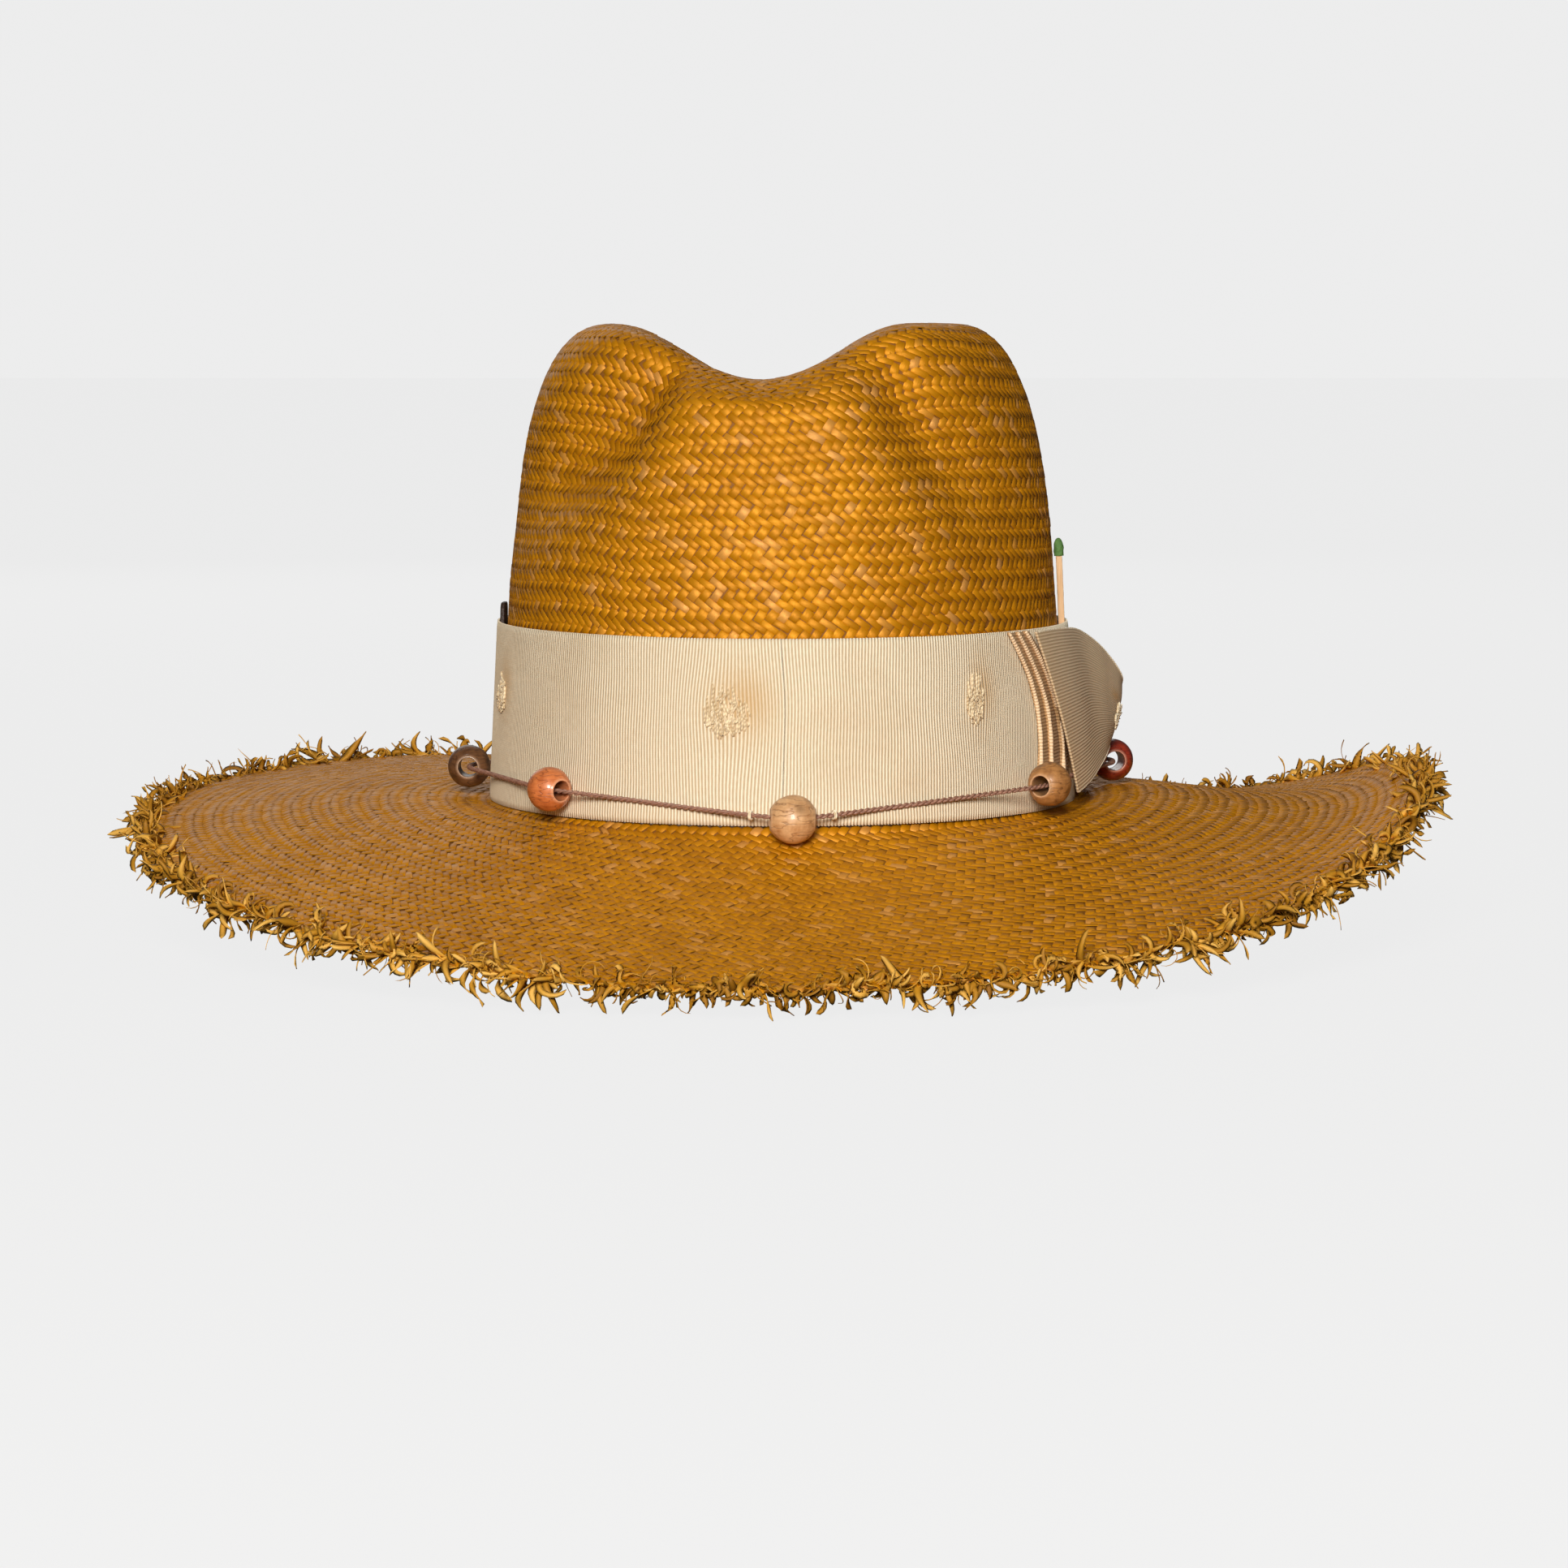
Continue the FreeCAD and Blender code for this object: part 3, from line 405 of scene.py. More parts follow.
def weave(name, skin, material, across=(-0.5, -0.34, 0.34, 0.5), fullUp=1.0):
    # rows of long floats and short floats, leaning opposite ways
    rng = np.random.default_rng(straw["seed"])
    rowCount = round(skin.climb * fullUp / straw["rowPitch"])
    stations = np.array([-0.5, -0.35, 0.35, 0.5])
    sides = np.array(across)
    sink = np.where(np.abs(stations) > 0.4, -straw["dive"], 0)[:, None] \
        - np.where(np.abs(sides) > 0.4, straw["edgeDrop"], 0)[None, :]
    allPoints, allChart, allTint = [], [], []
    for row in range(rowCount):
        for spec in (straw["long"], straw["short"]):
            up = (row + spec["rise"]) / rowCount * fullUp
            girth = skin.girth(up)
            count = max(round(girth / straw["columnPitch"]), 5)
            pitch = girth / count
            phase = row * straw["rowShift"] + spec["slide"]
            round_ = (np.arange(count) + phase + rng.normal(0, 0.04, count)) / count
            up = up + rng.normal(0, 0.012, count) / rowCount
            place = skin.at(round_, up)
            along, rise, out = skin.axes(round_, up)
            lean = np.radians(spec["lean"] + rng.normal(0, 2.5, count))
            length = spec["length"] * rng.normal(1, 0.05, count)
            width = spec["width"] * pitch / straw["columnPitch"] * rng.normal(1, 0.06, count)
            lift = straw["lift"] + rng.normal(0, 0.05 * mm, count)
            a = (stations[None, :, None] * length[:, None, None]) * np.ones((1, 1, len(sides)))
            b = (sides[None, None, :] * width[:, None, None]) * np.ones((1, len(stations), 1))
            roll = rng.normal(0, 0.05, count)[:, None, None]
            h = lift[:, None, None] + sink[None] + b * roll
            turned = np.cos(lean)[:, None, None], np.sin(lean)[:, None, None]
            x, y = a * turned[0] - b * turned[1], a * turned[1] + b * turned[0]
            points = place[:, None, None] + x[..., None] * along[:, None, None] \
                + y[..., None] * rise[:, None, None] + h[..., None] * out[:, None, None]
            shift = rng.uniform(0, 40, (count, 1, 1))
            chart = np.stack([a / mm + shift, b / mm + shift * 1.7], -1)
            tint = rng.uniform(0, 1, (count, 1, 1)) * np.ones(a.shape)
            allPoints.append(points.reshape(-1, 3))
            allChart.append(chart.reshape(-1, 2))
            allTint.append(tint.ravel())
    points = np.concatenate(allPoints)
    perFloat = len(stations) * len(sides)
    cell = gridQuads(len(stations), len(sides))[:, ::-1]
    starts = np.arange(0, len(points), perFloat)[:, None, None]
    quads = (starts + cell[None]).reshape(-1, 4)
    mesh = meshFrom(name, points, quads, np.concatenate(allChart), {"tint": np.concatenate(allTint)})
    piece = makePiece(name, mesh, material)
    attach(piece, "hat")
    print(name, "rows", rowCount, "triangles", len(quads) * 2)
    return piece


def strawFinish(name, light, dark):
    finish = Finish(name, Metallic=0.32, Specular_IOR_Level=0.3)
    chart = finish.chart()
    tint = finish.value("tint")
    fibre = finish.noise(finish.scaled(chart, (0.35, 6.0, 1)), 1.0, 4, 0.6)
    broad = finish.noise(finish.place(), 22, 2)
    factor = (tint * 0.45 + fibre * 0.55 + broad * 0.5 - 0.25).clip()
    base = finish.mix(factor, dark, light)
    dull = finish.node("HueSaturation", {}, Saturation=0.9, Value=1.0, Color=base)[0]
    finish.bumped(fibre, 0.0002, 0.6)
    return finish.paint(Base_Color=finish.mix(finish.value("tint").above(0.86, 1.0), base, dull),
                        Roughness=0.38 + fibre * 0.22)


def gapShadeCoreFinish():
    # dark brown, darker than the floats: painted shade for the gaps between them
    finish = Finish("strawCore", Roughness=0.75)
    grain = finish.noise(finish.place(), 900, 3)
    finish.bumped(grain, 0.0002)
    return finish.paint(Base_Color=finish.mix(grain, srgb(112, 66, 8), srgb(150, 94, 18)))


strawTop = strawFinish("strawOutside", strawLight, strawDark)
strawInner = strawFinish("strawInside", srgb(214, 150, 48), srgb(168, 110, 22))
gapShadeCore = gapShadeCoreFinish()
crownOut, crownIn = Skin(crownGrid(True)), Skin(crownGrid(False), True)
brimOver, brimUnder = Skin(brimGrid(True)), Skin(brimGrid(False))


def sunkRows(skin, depth, columns=240, rows=121):
    # the skin's points, pushed in under the floats
    around, up = np.meshgrid(np.arange(columns) / columns, np.linspace(0, 1, rows))
    along, rise, out = skin.axes(around, np.clip(up, 0, 0.985))
    return skin.at(around, up) - out * depth


def coreShell(name, nodeName, firstRows, lastRows, closed):
    # the solid straw under the floats, coloured dark brown as painted shade in the gaps between them
    rows = np.concatenate([firstRows, lastRows])
    quads = gridQuads(len(rows), rows.shape[1], closed, True)
    mesh = meshFrom(name, rows.reshape(-1, 3), quads)
    shell = bmesh.new()
    shell.from_mesh(mesh)
    bmesh.ops.remove_doubles(shell, verts=shell.verts, dist=0.00002)
    bmesh.ops.recalc_face_normals(shell, faces=shell.faces)
    shell.to_mesh(mesh)
    shell.free()
    piece = makePiece(name, mesh, gapShadeCore)
    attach(piece, "hat")
    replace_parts(piece, nodeName)
    return piece


coreDepth = 0.38 * mm
coreShell("crown_core", "crown", sunkRows(crownIn, coreDepth)[::-1], sunkRows(crownOut, coreDepth), False)
coreShell("brim_core", "brim", sunkRows(brimOver, coreDepth), sunkRows(brimUnder, coreDepth), True)
weave("crown_weave_outside", crownOut, strawTop, fullUp=0.99)
weave("crown_weave_inside", crownIn, strawInner, (-0.5, 0, 0.5), 0.99)
weave("brim_weave_top", brimOver, strawTop)
weave("brim_weave_underside", brimUnder, strawInner, (-0.5, 0, 0.5))

# ---- frayed edge ----
print("frayed edge")

fray = {
    "flatEnds": 2250, "hairs": 500, "clump": 9 * mm,
    "length": (6 * mm, 12.5 * mm), "width": (1.5 * mm, 3.1 * mm),
    "hairWidth": (0.25 * mm, 0.6 * mm), "thick": 0.14 * mm, "steps": 8, "root": 2.6 * mm, "seed": 23,
}


def frayedEdge(name, material):
    rng = np.random.default_rng(fray["seed"])
    total = fray["flatEnds"] + fray["hairs"]
    hair = np.arange(total) >= fray["flatEnds"]
    around = (np.arange(total) * 0.6180339 + rng.uniform(0, 0.002, total)) % 1
    edge = brimOver.at(around, np.zeros(total))
    along, rise, out = brimOver.axes(around, np.full(total, 0.012))
    clump = np.floor(around * brimOver.girth(0) / fray["clump"]).astype(int)
    mood = rng.normal(0, 1, (clump.max() + 1, 3))[clump]
    depth = rng.uniform(0.0, 1.5 * mm, total)[:, None]
    place = edge - out * depth + rise * fray["root"] * rng.uniform(0.3, 1, (total, 1))
    yaw = 0.8 * mood[:, 0] + rng.normal(0, 0.9, total)
    pitch = 0.20 * mood[:, 1] + rng.normal(0.05, 0.30, total)
    ahead = -rise * np.cos(yaw)[:, None] + along * np.sin(yaw)[:, None]
    ahead = ahead * np.cos(pitch)[:, None] + out * np.sin(pitch)[:, None]
    spread = np.where(hair, rng.uniform(*fray["hairWidth"], total), rng.uniform(*fray["width"], total))
    length = rng.uniform(*fray["length"], total) * (1 + 0.12 * mood[:, 2]) * np.where(hair, 1.05, 1)
    curl, bend = rng.normal(0, 0.32, total), rng.normal(-0.03, 0.28, total)
    twist = rng.normal(0, 0.36, total)
    up = out.copy()
    steps = fray["steps"]
    step = length / steps
    rings = []
    for number in range(steps + 1):
        side = np.cross(ahead, up)
        side /= np.linalg.norm(side, axis=1, keepdims=True)
        up = np.cross(side, ahead)
        t = number / steps
        half = (spread / 2 * (1 - 0.55 * t ** 2) * (0.12 if number == steps else 1))[:, None]
        rings.append(np.stack([place - side * half, place + up * fray["thick"] * 1.5,
                               place + side * half, place - up * fray["thick"]], 1))
        place = place + ahead * step[:, None]
        ahead = ahead + side * curl[:, None] + up * bend[:, None]
        ahead /= np.linalg.norm(ahead, axis=1, keepdims=True)
        up = up + side * twist[:, None]
    points = np.stack(rings, 1)
    cell = gridQuads(steps + 1, 4, False, True)[:, ::-1]
    tip = np.array([[0, 1, 2, 3], [4 * steps + 3, 4 * steps + 2, 4 * steps + 1, 4 * steps]])
    cell = np.concatenate([cell, tip])
    perBlade = 4 * (steps + 1)
    quads = (np.arange(total)[:, None, None] * perBlade + cell[None]).reshape(-1, 4)
    run = np.arange(steps + 1)[None, :, None] * step[:, None, None] / mm
    across = np.array([-1, 0, 1, 0])[None, None, :] * (spread / 2 / mm)[:, None, None]
    shift = rng.uniform(0, 40, (total, 1, 1))
    chart = np.stack([run + 0 * across + shift, across + 0 * run + shift * 1.3], -1)
    tint = np.repeat(rng.uniform(0, 1, total) * 0.7 + 0.3 * (mood[:, 2] > 0), perBlade)
    tipShare = np.tile(np.repeat(np.linspace(0, 1, steps + 1), 4), total)
    values = {"tint": tint, "tip": tipShare}
    mesh = meshFrom(name, points.reshape(-1, 3), quads, chart.reshape(-1, 2), values)
    piece = makePiece(name, mesh, material)
    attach(piece, "hat")
    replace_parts(piece, "frayed_edge")
    return piece


def frayFinish():
    finish = Finish("strawEnds", Specular_IOR_Level=0.35)
    fibre = finish.noise(finish.scaled(finish.chart(), (0.3, 6.0, 1)), 1.0, 4, 0.6)
    tip, tint = finish.value("tip"), finish.value("tint")
    # each blade's tone between golden straw and dark brown, the dark end partly worn straw and partly painted shade
    # of shadowed clumps
    wornAndShadedTone = finish.mix((tint * 0.75 + fibre * 0.5 - 0.2).clip(), srgb(132, 84, 4), srgb(232, 168, 44))
    pale = finish.mix((tip * 0.5 + tint * 0.8 - 0.75).clip(), wornAndShadedTone, srgb(250, 208, 120))
    finish.bumped(fibre, 0.0002, 0.6)
    return finish.paint(Base_Color=pale, Roughness=0.45 + fibre * 0.25)


frayedEdge("frayed_edge_ends", frayFinish())

# ---- grosgrain ribbon ----
print("ribbon")

ribbon = {
    "bottom": 1.4 * mm, "middle": 28 * mm, "top": 54.4 * mm, "thick": 0.8 * mm,
    "roomBottom": 1.5 * mm, "roomTop": 2.7 * mm,
    "strawOffset": 3.0 * mm, "taper": 0.068, "ribPitch": 0.97 * mm, "ribHigh": 0.09 * mm,
    "scallop": 0.32 * mm, "slack": 0.22 * mm,
    # tan: the grooves' tone, partly painted shade in the grooves
    "cream": srgb(255, 246, 222), "tan": srgb(188, 163, 128),
}
frayPatches = [  # turn, height, width, height of each worn place
    (-11.8, 31.9, 17, 15), (46.4, 34.2, 9, 14), (-75.5, 33.1, 8, 12),
]


degree = 1.37 * mm  # how far a degree of turn is, on the ribbon at the front


def bandOffset(height):
    low = ribbon["strawOffset"] - ribbon["taper"] * ribbon["bottom"] + ribbon["roomBottom"]
    high = ribbon["strawOffset"] - ribbon["taper"] * ribbon["top"] + ribbon["roomTop"]
    return low + (high - low) * (height - ribbon["bottom"]) / (ribbon["top"] - ribbon["bottom"])


def overBand(turn, stand, height):
    # points that stand off the band's outer face
    return standing(turn, bandOffset(height) + ribbon["thick"] + stand, height)


def ribbonFinish(name, cream, tan):
    finish = Finish(name, Sheen_Weight=0.06, Specular_IOR_Level=0.2)
    finish.shader.inputs["Sheen Tint"].default_value = (1.0, 0.95, 0.86, 1)
    chart = finish.chart()
    along, across, unused = finish.node("SeparateXYZ", {}, chart)
    rib = (along * (2 * math.pi / (ribbon["ribPitch"] / mm))).sine() * 0.5 + 0.5
    pick = (across * (2 * math.pi / 0.42)).sine() * 0.5 + 0.5
    thread = finish.noise(finish.scaled(chart, (3.2, 0.5, 1)), 1.0, 3)
    soil = finish.noise(finish.place(), 26, 4, 0.65)
    # cream on the rib crests and tan in the grooves: partly the ribbon's two-tone weave, partly painted shade in
    # the grooves
    tone = finish.mix((rib * 0.85 + thread * 0.5 - 0.22).clip(), tan, cream)
    soiled = tuple(c * f for c, f in zip(tan, (0.93, 0.84, 0.70)))
    tone = finish.mix(((soil - 0.52) * 2.2).clip() * 0.45, tone, soiled)
    # stains at the band's worn places, and painted shade under the bow's folds and loop
    stain = finish.value("stain")
    tone = finish.mix(stain.clip() * 0.75, tone, srgb(196, 150, 84))
    finish.bumped(rib * 0.7 + pick * rib * 0.3 + thread * 0.25, 0.00024, 0.75)
    return finish.paint(Base_Color=tone, Roughness=0.72 + thread * 0.2)


def bandPiece(name, material):
    girth = evenTurns([0], bandOffset(ribbon["middle"]))[1]
    ribs = round(girth / ribbon["ribPitch"])
    columns = ribs * 3
    shares = np.arange(columns) / columns
    turns = evenTurns(shares, bandOffset(ribbon["middle"]))[0]
    wave = np.tile([0.0, 1.0, 1.0], ribs)  # a groove and a crest for each rib
    rng = np.random.default_rng(5)
    tall = ribbon["top"] - ribbon["bottom"]
    waves = [(rng.integers(2, 9), rng.uniform(0, 6.28), rng.uniform(0, 3.1)) for count in range(7)]
    rows, chart, stain = [], [], []
    profile = [(share, 1.0) for share in np.linspace(0, 1, 33)]
    profile += [(1.0, 0.0), (0.5, 0.0), (0.0, 0.0)]
    for share, outside in profile:
        edge = 1 if share in (0.0, 1.0) else 0
        height = ribbon["bottom"] + tall * share
        ripple = sum(np.sin(count * np.radians(turns) + start + share * lean)
                     for count, start, lean in waves) / len(waves)
        near = np.zeros(columns)
        slide = 0.35 * np.sin(np.radians(turns) * 9 + share * 5) * np.sin(share * 7)
        for turn, middle, wide, high in frayPatches:
            apart = ((turns - turn + 180) % 360 - 180) * degree / mm  # the ribs part round a worn place
            rise = height / mm - middle
            stained = hump(apart, wide * 0.25, wide / 2.1) * hump(rise, high * 0.3, high / 1.6)
            near = np.maximum(near, stained)
            beside = hump(apart, 0, wide * 1.1) * hump(rise, 0, high / 1.25)
            slide += np.tanh(apart / wide * 2.4) * beside * wide * 0.13
        ribbing = ribbon["ribHigh"] * (wave - 1) * (1 - 0.5 * edge)
        stand = outside * (ribbing + ribbon["slack"] * ripple * (1 - 0.6 * edge))
        stand = stand - (1 - outside) * ribbon["thick"] * 0.9 - 0.18 * mm * edge * outside
        reach = edge * (1 if share else -1) * ribbon["scallop"] * (np.clip(wave, 0.3, 1) - 0.4)
        rows.append(overBand(turns + slide * mm / degree * outside, stand, height + reach))
        run = shares * ribs * ribbon["ribPitch"] / mm - 0.16
        chart.append(np.stack([run, np.full(columns, height / mm)], -1))
        stain.append(near * outside * 0.7)
    points = np.stack(rows).reshape(-1, 3)
    quads = gridQuads(len(rows), columns, True, True)
    mesh = meshFrom(name, points, quads, np.stack(chart).reshape(-1, 2), {"stain": np.stack(stain).ravel()})
    piece = makePiece(name, mesh, material)
    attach(piece, "hat")
    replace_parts(piece, "hat_band")
    return piece


ribbonTone = ribbonFinish("grosgrain", ribbon["cream"], ribbon["tan"])
bandPiece("hat_band_ribbon", ribbonTone)


def tubes(name, paths, radii, sides, material, body="hat", rng=None):
    # round strands along paths of points, all in one mesh, with a tint for each strand
    allPoints, allQuads, allChart, allTint = [], [], [], []
    start = 0
    rng = rng or np.random.default_rng(1)
    for path, radius in zip(paths, radii):
        path = np.asarray(path)
        ahead = np.gradient(path, axis=0)
        ahead /= np.linalg.norm(ahead, axis=1, keepdims=True)
        guide = np.array([0.31, 0.17, 0.93])
        side = np.cross(ahead, guide)
        side /= np.linalg.norm(side, axis=1, keepdims=True)
        up = np.cross(side, ahead)
        angles = np.arange(sides) / sides * 2 * math.pi
        radius = np.broadcast_to(radius, len(path)).copy()
        ring = np.cos(angles)[None, :, None] * side[:, None] + np.sin(angles)[None, :, None] * up[:, None]
        points = path[:, None] + ring * radius[:, None, None]
        ends = np.stack([path[0] - ahead[0] * radius[0] * 0.4, path[-1] + ahead[-1] * radius[-1] * 0.4])
        count = len(path) * sides
        quads = gridQuads(len(path), sides, False, True)
        last = count - sides
        caps = [[count, (k + 1) % sides, k] for k in range(sides)]
        caps += [[count + 1, last + k, last + (k + 1) % sides] for k in range(sides)]
        length = np.concatenate([[0], np.cumsum(np.linalg.norm(np.diff(path, axis=0), axis=1))]) / mm
        chart = np.stack(np.broadcast_arrays(length[:, None], angles[None, :] / 6.2832), -1).reshape(-1, 2)
        allPoints += [points.reshape(-1, 3), ends]
        allChart += [chart, [[length[0], 0.5], [length[-1], 0.5]]]
        allQuads.append((quads + start, [[a + start, b + start, c + start] for a, b, c in caps]))
        allTint.append(np.full(count + 2, rng.uniform()))
        start += count + 2
    mesh = bpy.data.meshes.new(name)
    faces = []
    for quads, caps in allQuads:
        faces += quads.tolist() + caps
    mesh.from_pydata(np.concatenate(allPoints).tolist(), [], faces)
    layer = mesh.uv_layers.new(name="UVMap")
    corner = np.zeros(len(mesh.loops), np.int32)
    mesh.loops.foreach_get("vertex_index", corner)
    layer.data.foreach_set("uv", np.concatenate(allChart).astype(np.float32)[corner].ravel())
    tintLayer = mesh.attributes.new("tint", "FLOAT", "POINT")
    tintLayer.data.foreach_set("value", np.concatenate(allTint).astype(np.float32))
    piece = makePiece(name, mesh, material)
    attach(piece, body)
    return piece


def threadFinish(name, light, dark):
    finish = Finish(name, Sheen_Weight=0.3, Specular_IOR_Level=0.15)
    run, turn, unused = finish.node("SeparateXYZ", {}, finish.chart())
    ply = ((run * 5.0 + turn * 6.2832) * 1.0).sine() * 0.5 + 0.5
    fuzz = finish.noise(finish.place(), 1500, 2)
    tone = finish.mix((ply * 0.5 + finish.value("tint") * 0.5 + fuzz * 0.3 - 0.15).clip(), dark, light)
    finish.bumped(ply * 0.7 + fuzz * 0.3, 0.00008, 0.6)
    return finish.paint(Base_Color=tone, Roughness=0.8 + fuzz * 0.15)


creamThread = threadFinish("creamThread", srgb(250, 240, 214), srgb(206, 182, 140))


def wornPatch(wide, high, place, loose, seed):
    # stubs of broken ribs, and loose threads, where the ribbon is worn through
    rng = np.random.default_rng(seed)
    paths, radii = [], []
    t = np.linspace(0, 1, 9)
    for x in np.arange(-wide / 2, wide / 2, ribbon["ribPitch"] / mm * 0.82):
        reach = high / 2 * math.sqrt(max(1 - (2 * x / wide) ** 2, 0.06))
        y = -reach * rng.uniform(0.8, 1.1)
        while y < reach:
            long = rng.uniform(0.18, 0.5) * high
            lean, bend = rng.normal(0, 0.16), rng.normal(0, 0.35)
            along = y + long * t
            curlUp, arch = rng.uniform(0.1, 0.5), rng.uniform(0, 0.35)
            stand = 0.05 + curlUp * (2 * t - 1) ** 2 + arch * np.sin(t * math.pi)
            paths.append(place(x + lean * long * (t - 0.5) + bend * np.sin(t * 5 + y), along, stand * mm))
            radii.append(rng.uniform(0.30, 0.46) * mm * (1 - 0.45 * np.abs(2 * t - 1) ** 3))
            y += long * rng.uniform(0.75, 1.25)
    for number in range(loose):
        x, y = rng.uniform(-0.42, 0.42) * wide, rng.uniform(-0.42, 0.42) * high
        lean, long = rng.normal(0.3, 0.9), rng.uniform(0.15, 0.34) * high
        stand = 0.35 + rng.uniform(0.2, 0.7) * np.sin(t * math.pi)
        paths.append(place(x + np.cos(lean) * long * (t - 0.5), y + np.sin(lean) * long * (t - 0.5)
                           + 0.2 * long * np.sin(t * 6 + number), stand * mm))
        radii.append(rng.uniform(0.14, 0.24) * mm * (1 - 0.3 * t))
    return paths, radii


patchPaths, patchRadii = [], []
for number, (turn, middle, wide, high) in enumerate(frayPatches):
    def onBand(x, y, stand):
        return overBand(turn + x * mm / degree, stand, (middle + y) * mm)

    paths, radii = wornPatch(wide * 0.78, high * 0.78, onBand, 9, 40 + number)
    patchPaths += paths
    patchRadii += radii
wornThread = threadFinish("wornThread", srgb(246, 228, 192), srgb(176, 146, 104))
tubes("ribbon_worn_threads", patchPaths, patchRadii, 6, wornThread)

# ---- bow ----
print("bow")

bow = {
    "pleatLow": (61, 65, 70, 76), "pleatHigh": (55, 57, 59, 61),
    "pleatBottom": 4.8 * mm, "pleatTop": 54.2 * mm, "bend": 4.5,
    "pleatRoot": 0.55 * mm, "pleatRise": 1.0 * mm, "pleatThick": 0.4 * mm,
    "folds": (0.0, 0.36, 0.74), "piping": 0.62 * mm,
    "overPleats": 1.8 * mm, "bulge": 0.9 * mm, "thick": 0.7 * mm,
    # the bow is the band's grosgrain in darker tones: painted shade on the loop, the tail and the pleats between
    # the folds
    "faceLight": srgb(232, 208, 174), "faceDark": srgb(176, 152, 120),
    "pleatLight": srgb(214, 176, 132), "pleatDark": srgb(164, 124, 84),
}
loopStations = [  # turn, stand over the pleats in mm and height in mm, at the lower and the upper selvedge
    ((70.5, 4.1, 5.5), (61.6, 0.15, 54)),
    ((75, 5.2, 8), (70, 0.6, 54.2)),
    ((80, 6.4, 11.5), (79, 2.4, 52.6)),
    ((85, 7.7, 14.5), (86, 8.2, 46)),
    ((90, 8.7, 17), (91, 13.6, 37)),
    ((94.5, 7.7, 19), (96, 12.2, 31)),
]
tailColumns = [  # turn and height in mm at the bottom and the top, and stand in mm, of the folded tail
    (84, 3.5, 84, 38, 1.2), (92, 2.5, 92, 37, 4.1), (101, 2.5, 101, 34, 4.1), (110, 3.5, 110, 30, 0.8),
]


def through(stations, share):
    # a smooth curve through evenly spaced rows of numbers
    stations = np.asarray(stations, float)
    place = np.clip(share, 0, 1) * (len(stations) - 1)
    first = np.minimum(place.astype(int), len(stations) - 2)
    t = (place - first)[..., None]
    a, b = stations[np.maximum(first - 1, 0)], stations[first]
    c, d = stations[first + 1], stations[np.minimum(first + 2, len(stations) - 1)]
    return b + t * ((c - a) + t * ((2 * a - 5 * b + 4 * c - d) + t * (3 * (b - c) + d - a))) / 2


def sheetPiece(name, points, chart, stain, thick, material, node):
    # a sheet from a grid of its outer face, given its thickness inwards
    rows, columns = points.shape[:2]
    values = {"stain": stain.ravel()}
    mesh = meshFrom(name, points.reshape(-1, 3), gridQuads(rows, columns), chart.reshape(-1, 2), values)
    piece = makePiece(name, mesh, material)
    bpy.ops.object.select_all(action="DESELECT")
    bpy.context.view_layer.objects.active = piece
    piece.select_set(True)
    solid = piece.modifiers.new("thickness", "SOLIDIFY")
    solid.thickness = thick
    solid.offset = -1
    bpy.ops.object.modifier_apply(modifier="thickness")
    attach(piece, "hat")
    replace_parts(piece, node)
    area = sum(face.area for face in piece.data.polygons) / 2
    print(name, "area", round(area * 1e4, 2), "cm2")
    return piece


def pleatPoints(across, up, stand):
    low = np.interp(across, np.linspace(0, 1, 4), bow["pleatLow"])
    high = np.interp(across, np.linspace(0, 1, 4), bow["pleatHigh"])
    turn = low + (high - low) * up + bow["bend"] * np.sin(up * math.pi)
    return overBand(turn, stand, bow["pleatBottom"] + (bow["pleatTop"] - bow["pleatBottom"]) * up)


def pleatStand(across):
    # each pleat rises to a rounded fold and slopes down under the next
    stand = np.full(across.shape, bow["pleatRoot"])
    share = np.zeros(across.shape)
    folds = list(bow["folds"]) + [1.05]
    for start, end in zip(folds, folds[1:]):
        inside = (across >= start) & (across < end)
        part = (across - start) / (end - start)
        share = np.where(inside, part, share)
    return stand + bow["pleatRise"] * np.clip(share / 0.08, 0, 1) * (1 - share) ** 0.7, share


across, up = np.meshgrid(np.linspace(0, 1, 91), np.linspace(0, 1, 61))
stand, share = pleatStand(across)
wrinkle = 0.10 * mm * np.sin(up * 23 + across * 9) * np.sin(up * 7)
points = pleatPoints(across, up, stand + wrinkle)
chart = np.stack([up * 49.4, across * 21], -1)
# darker towards where each pleat runs under the next fold, painted shade under the fold, and darker about
# mid-height
stain = np.clip(share * 1.2 - 0.25, 0, 1) * 0.35 + 0.25 * np.exp(-((up - 0.55) / 0.3) ** 2)
pleatShadedTone = ribbonFinish("pleatedGrosgrain", bow["pleatLight"], bow["pleatDark"])
sheetPiece("bow_pleats_ribbon", points, chart, stain, bow["pleatThick"], pleatShadedTone,
           "bow_pleats")

foldPaths, foldRadii = [], []
for number, fold in enumerate(bow["folds"]):
    upward = np.linspace(0.0, 1.0, 70) if number < 2 else np.concatenate([np.linspace(0, 0.44, 30)])
    paths = [upward]
    if number == 2:
        paths.append(np.linspace(0.52, 1.0, 36))
    for upward in paths:
        sway = 0.012 * np.sin(upward * 11 + number * 2)
        foldPaths.append(pleatPoints(fold + 0.03 + sway, upward, 1.25 * mm + 0 * upward))
        ending = np.clip(np.minimum(upward - upward[0], upward[-1] - upward) / 0.02, 0.55, 1)
        foldRadii.append(bow["piping"] * (1 + 0.10 * np.sin(upward * 37 + number)) * ending)
# the fold edges in lighter tones: painted highlight where the folds catch the light
pipingHighlightTone = ribbonFinish("foldedEdge", srgb(252, 226, 190), srgb(228, 192, 150))
foldPiece = tubes("bow_fold_edges", foldPaths, foldRadii, 10, pipingHighlightTone)


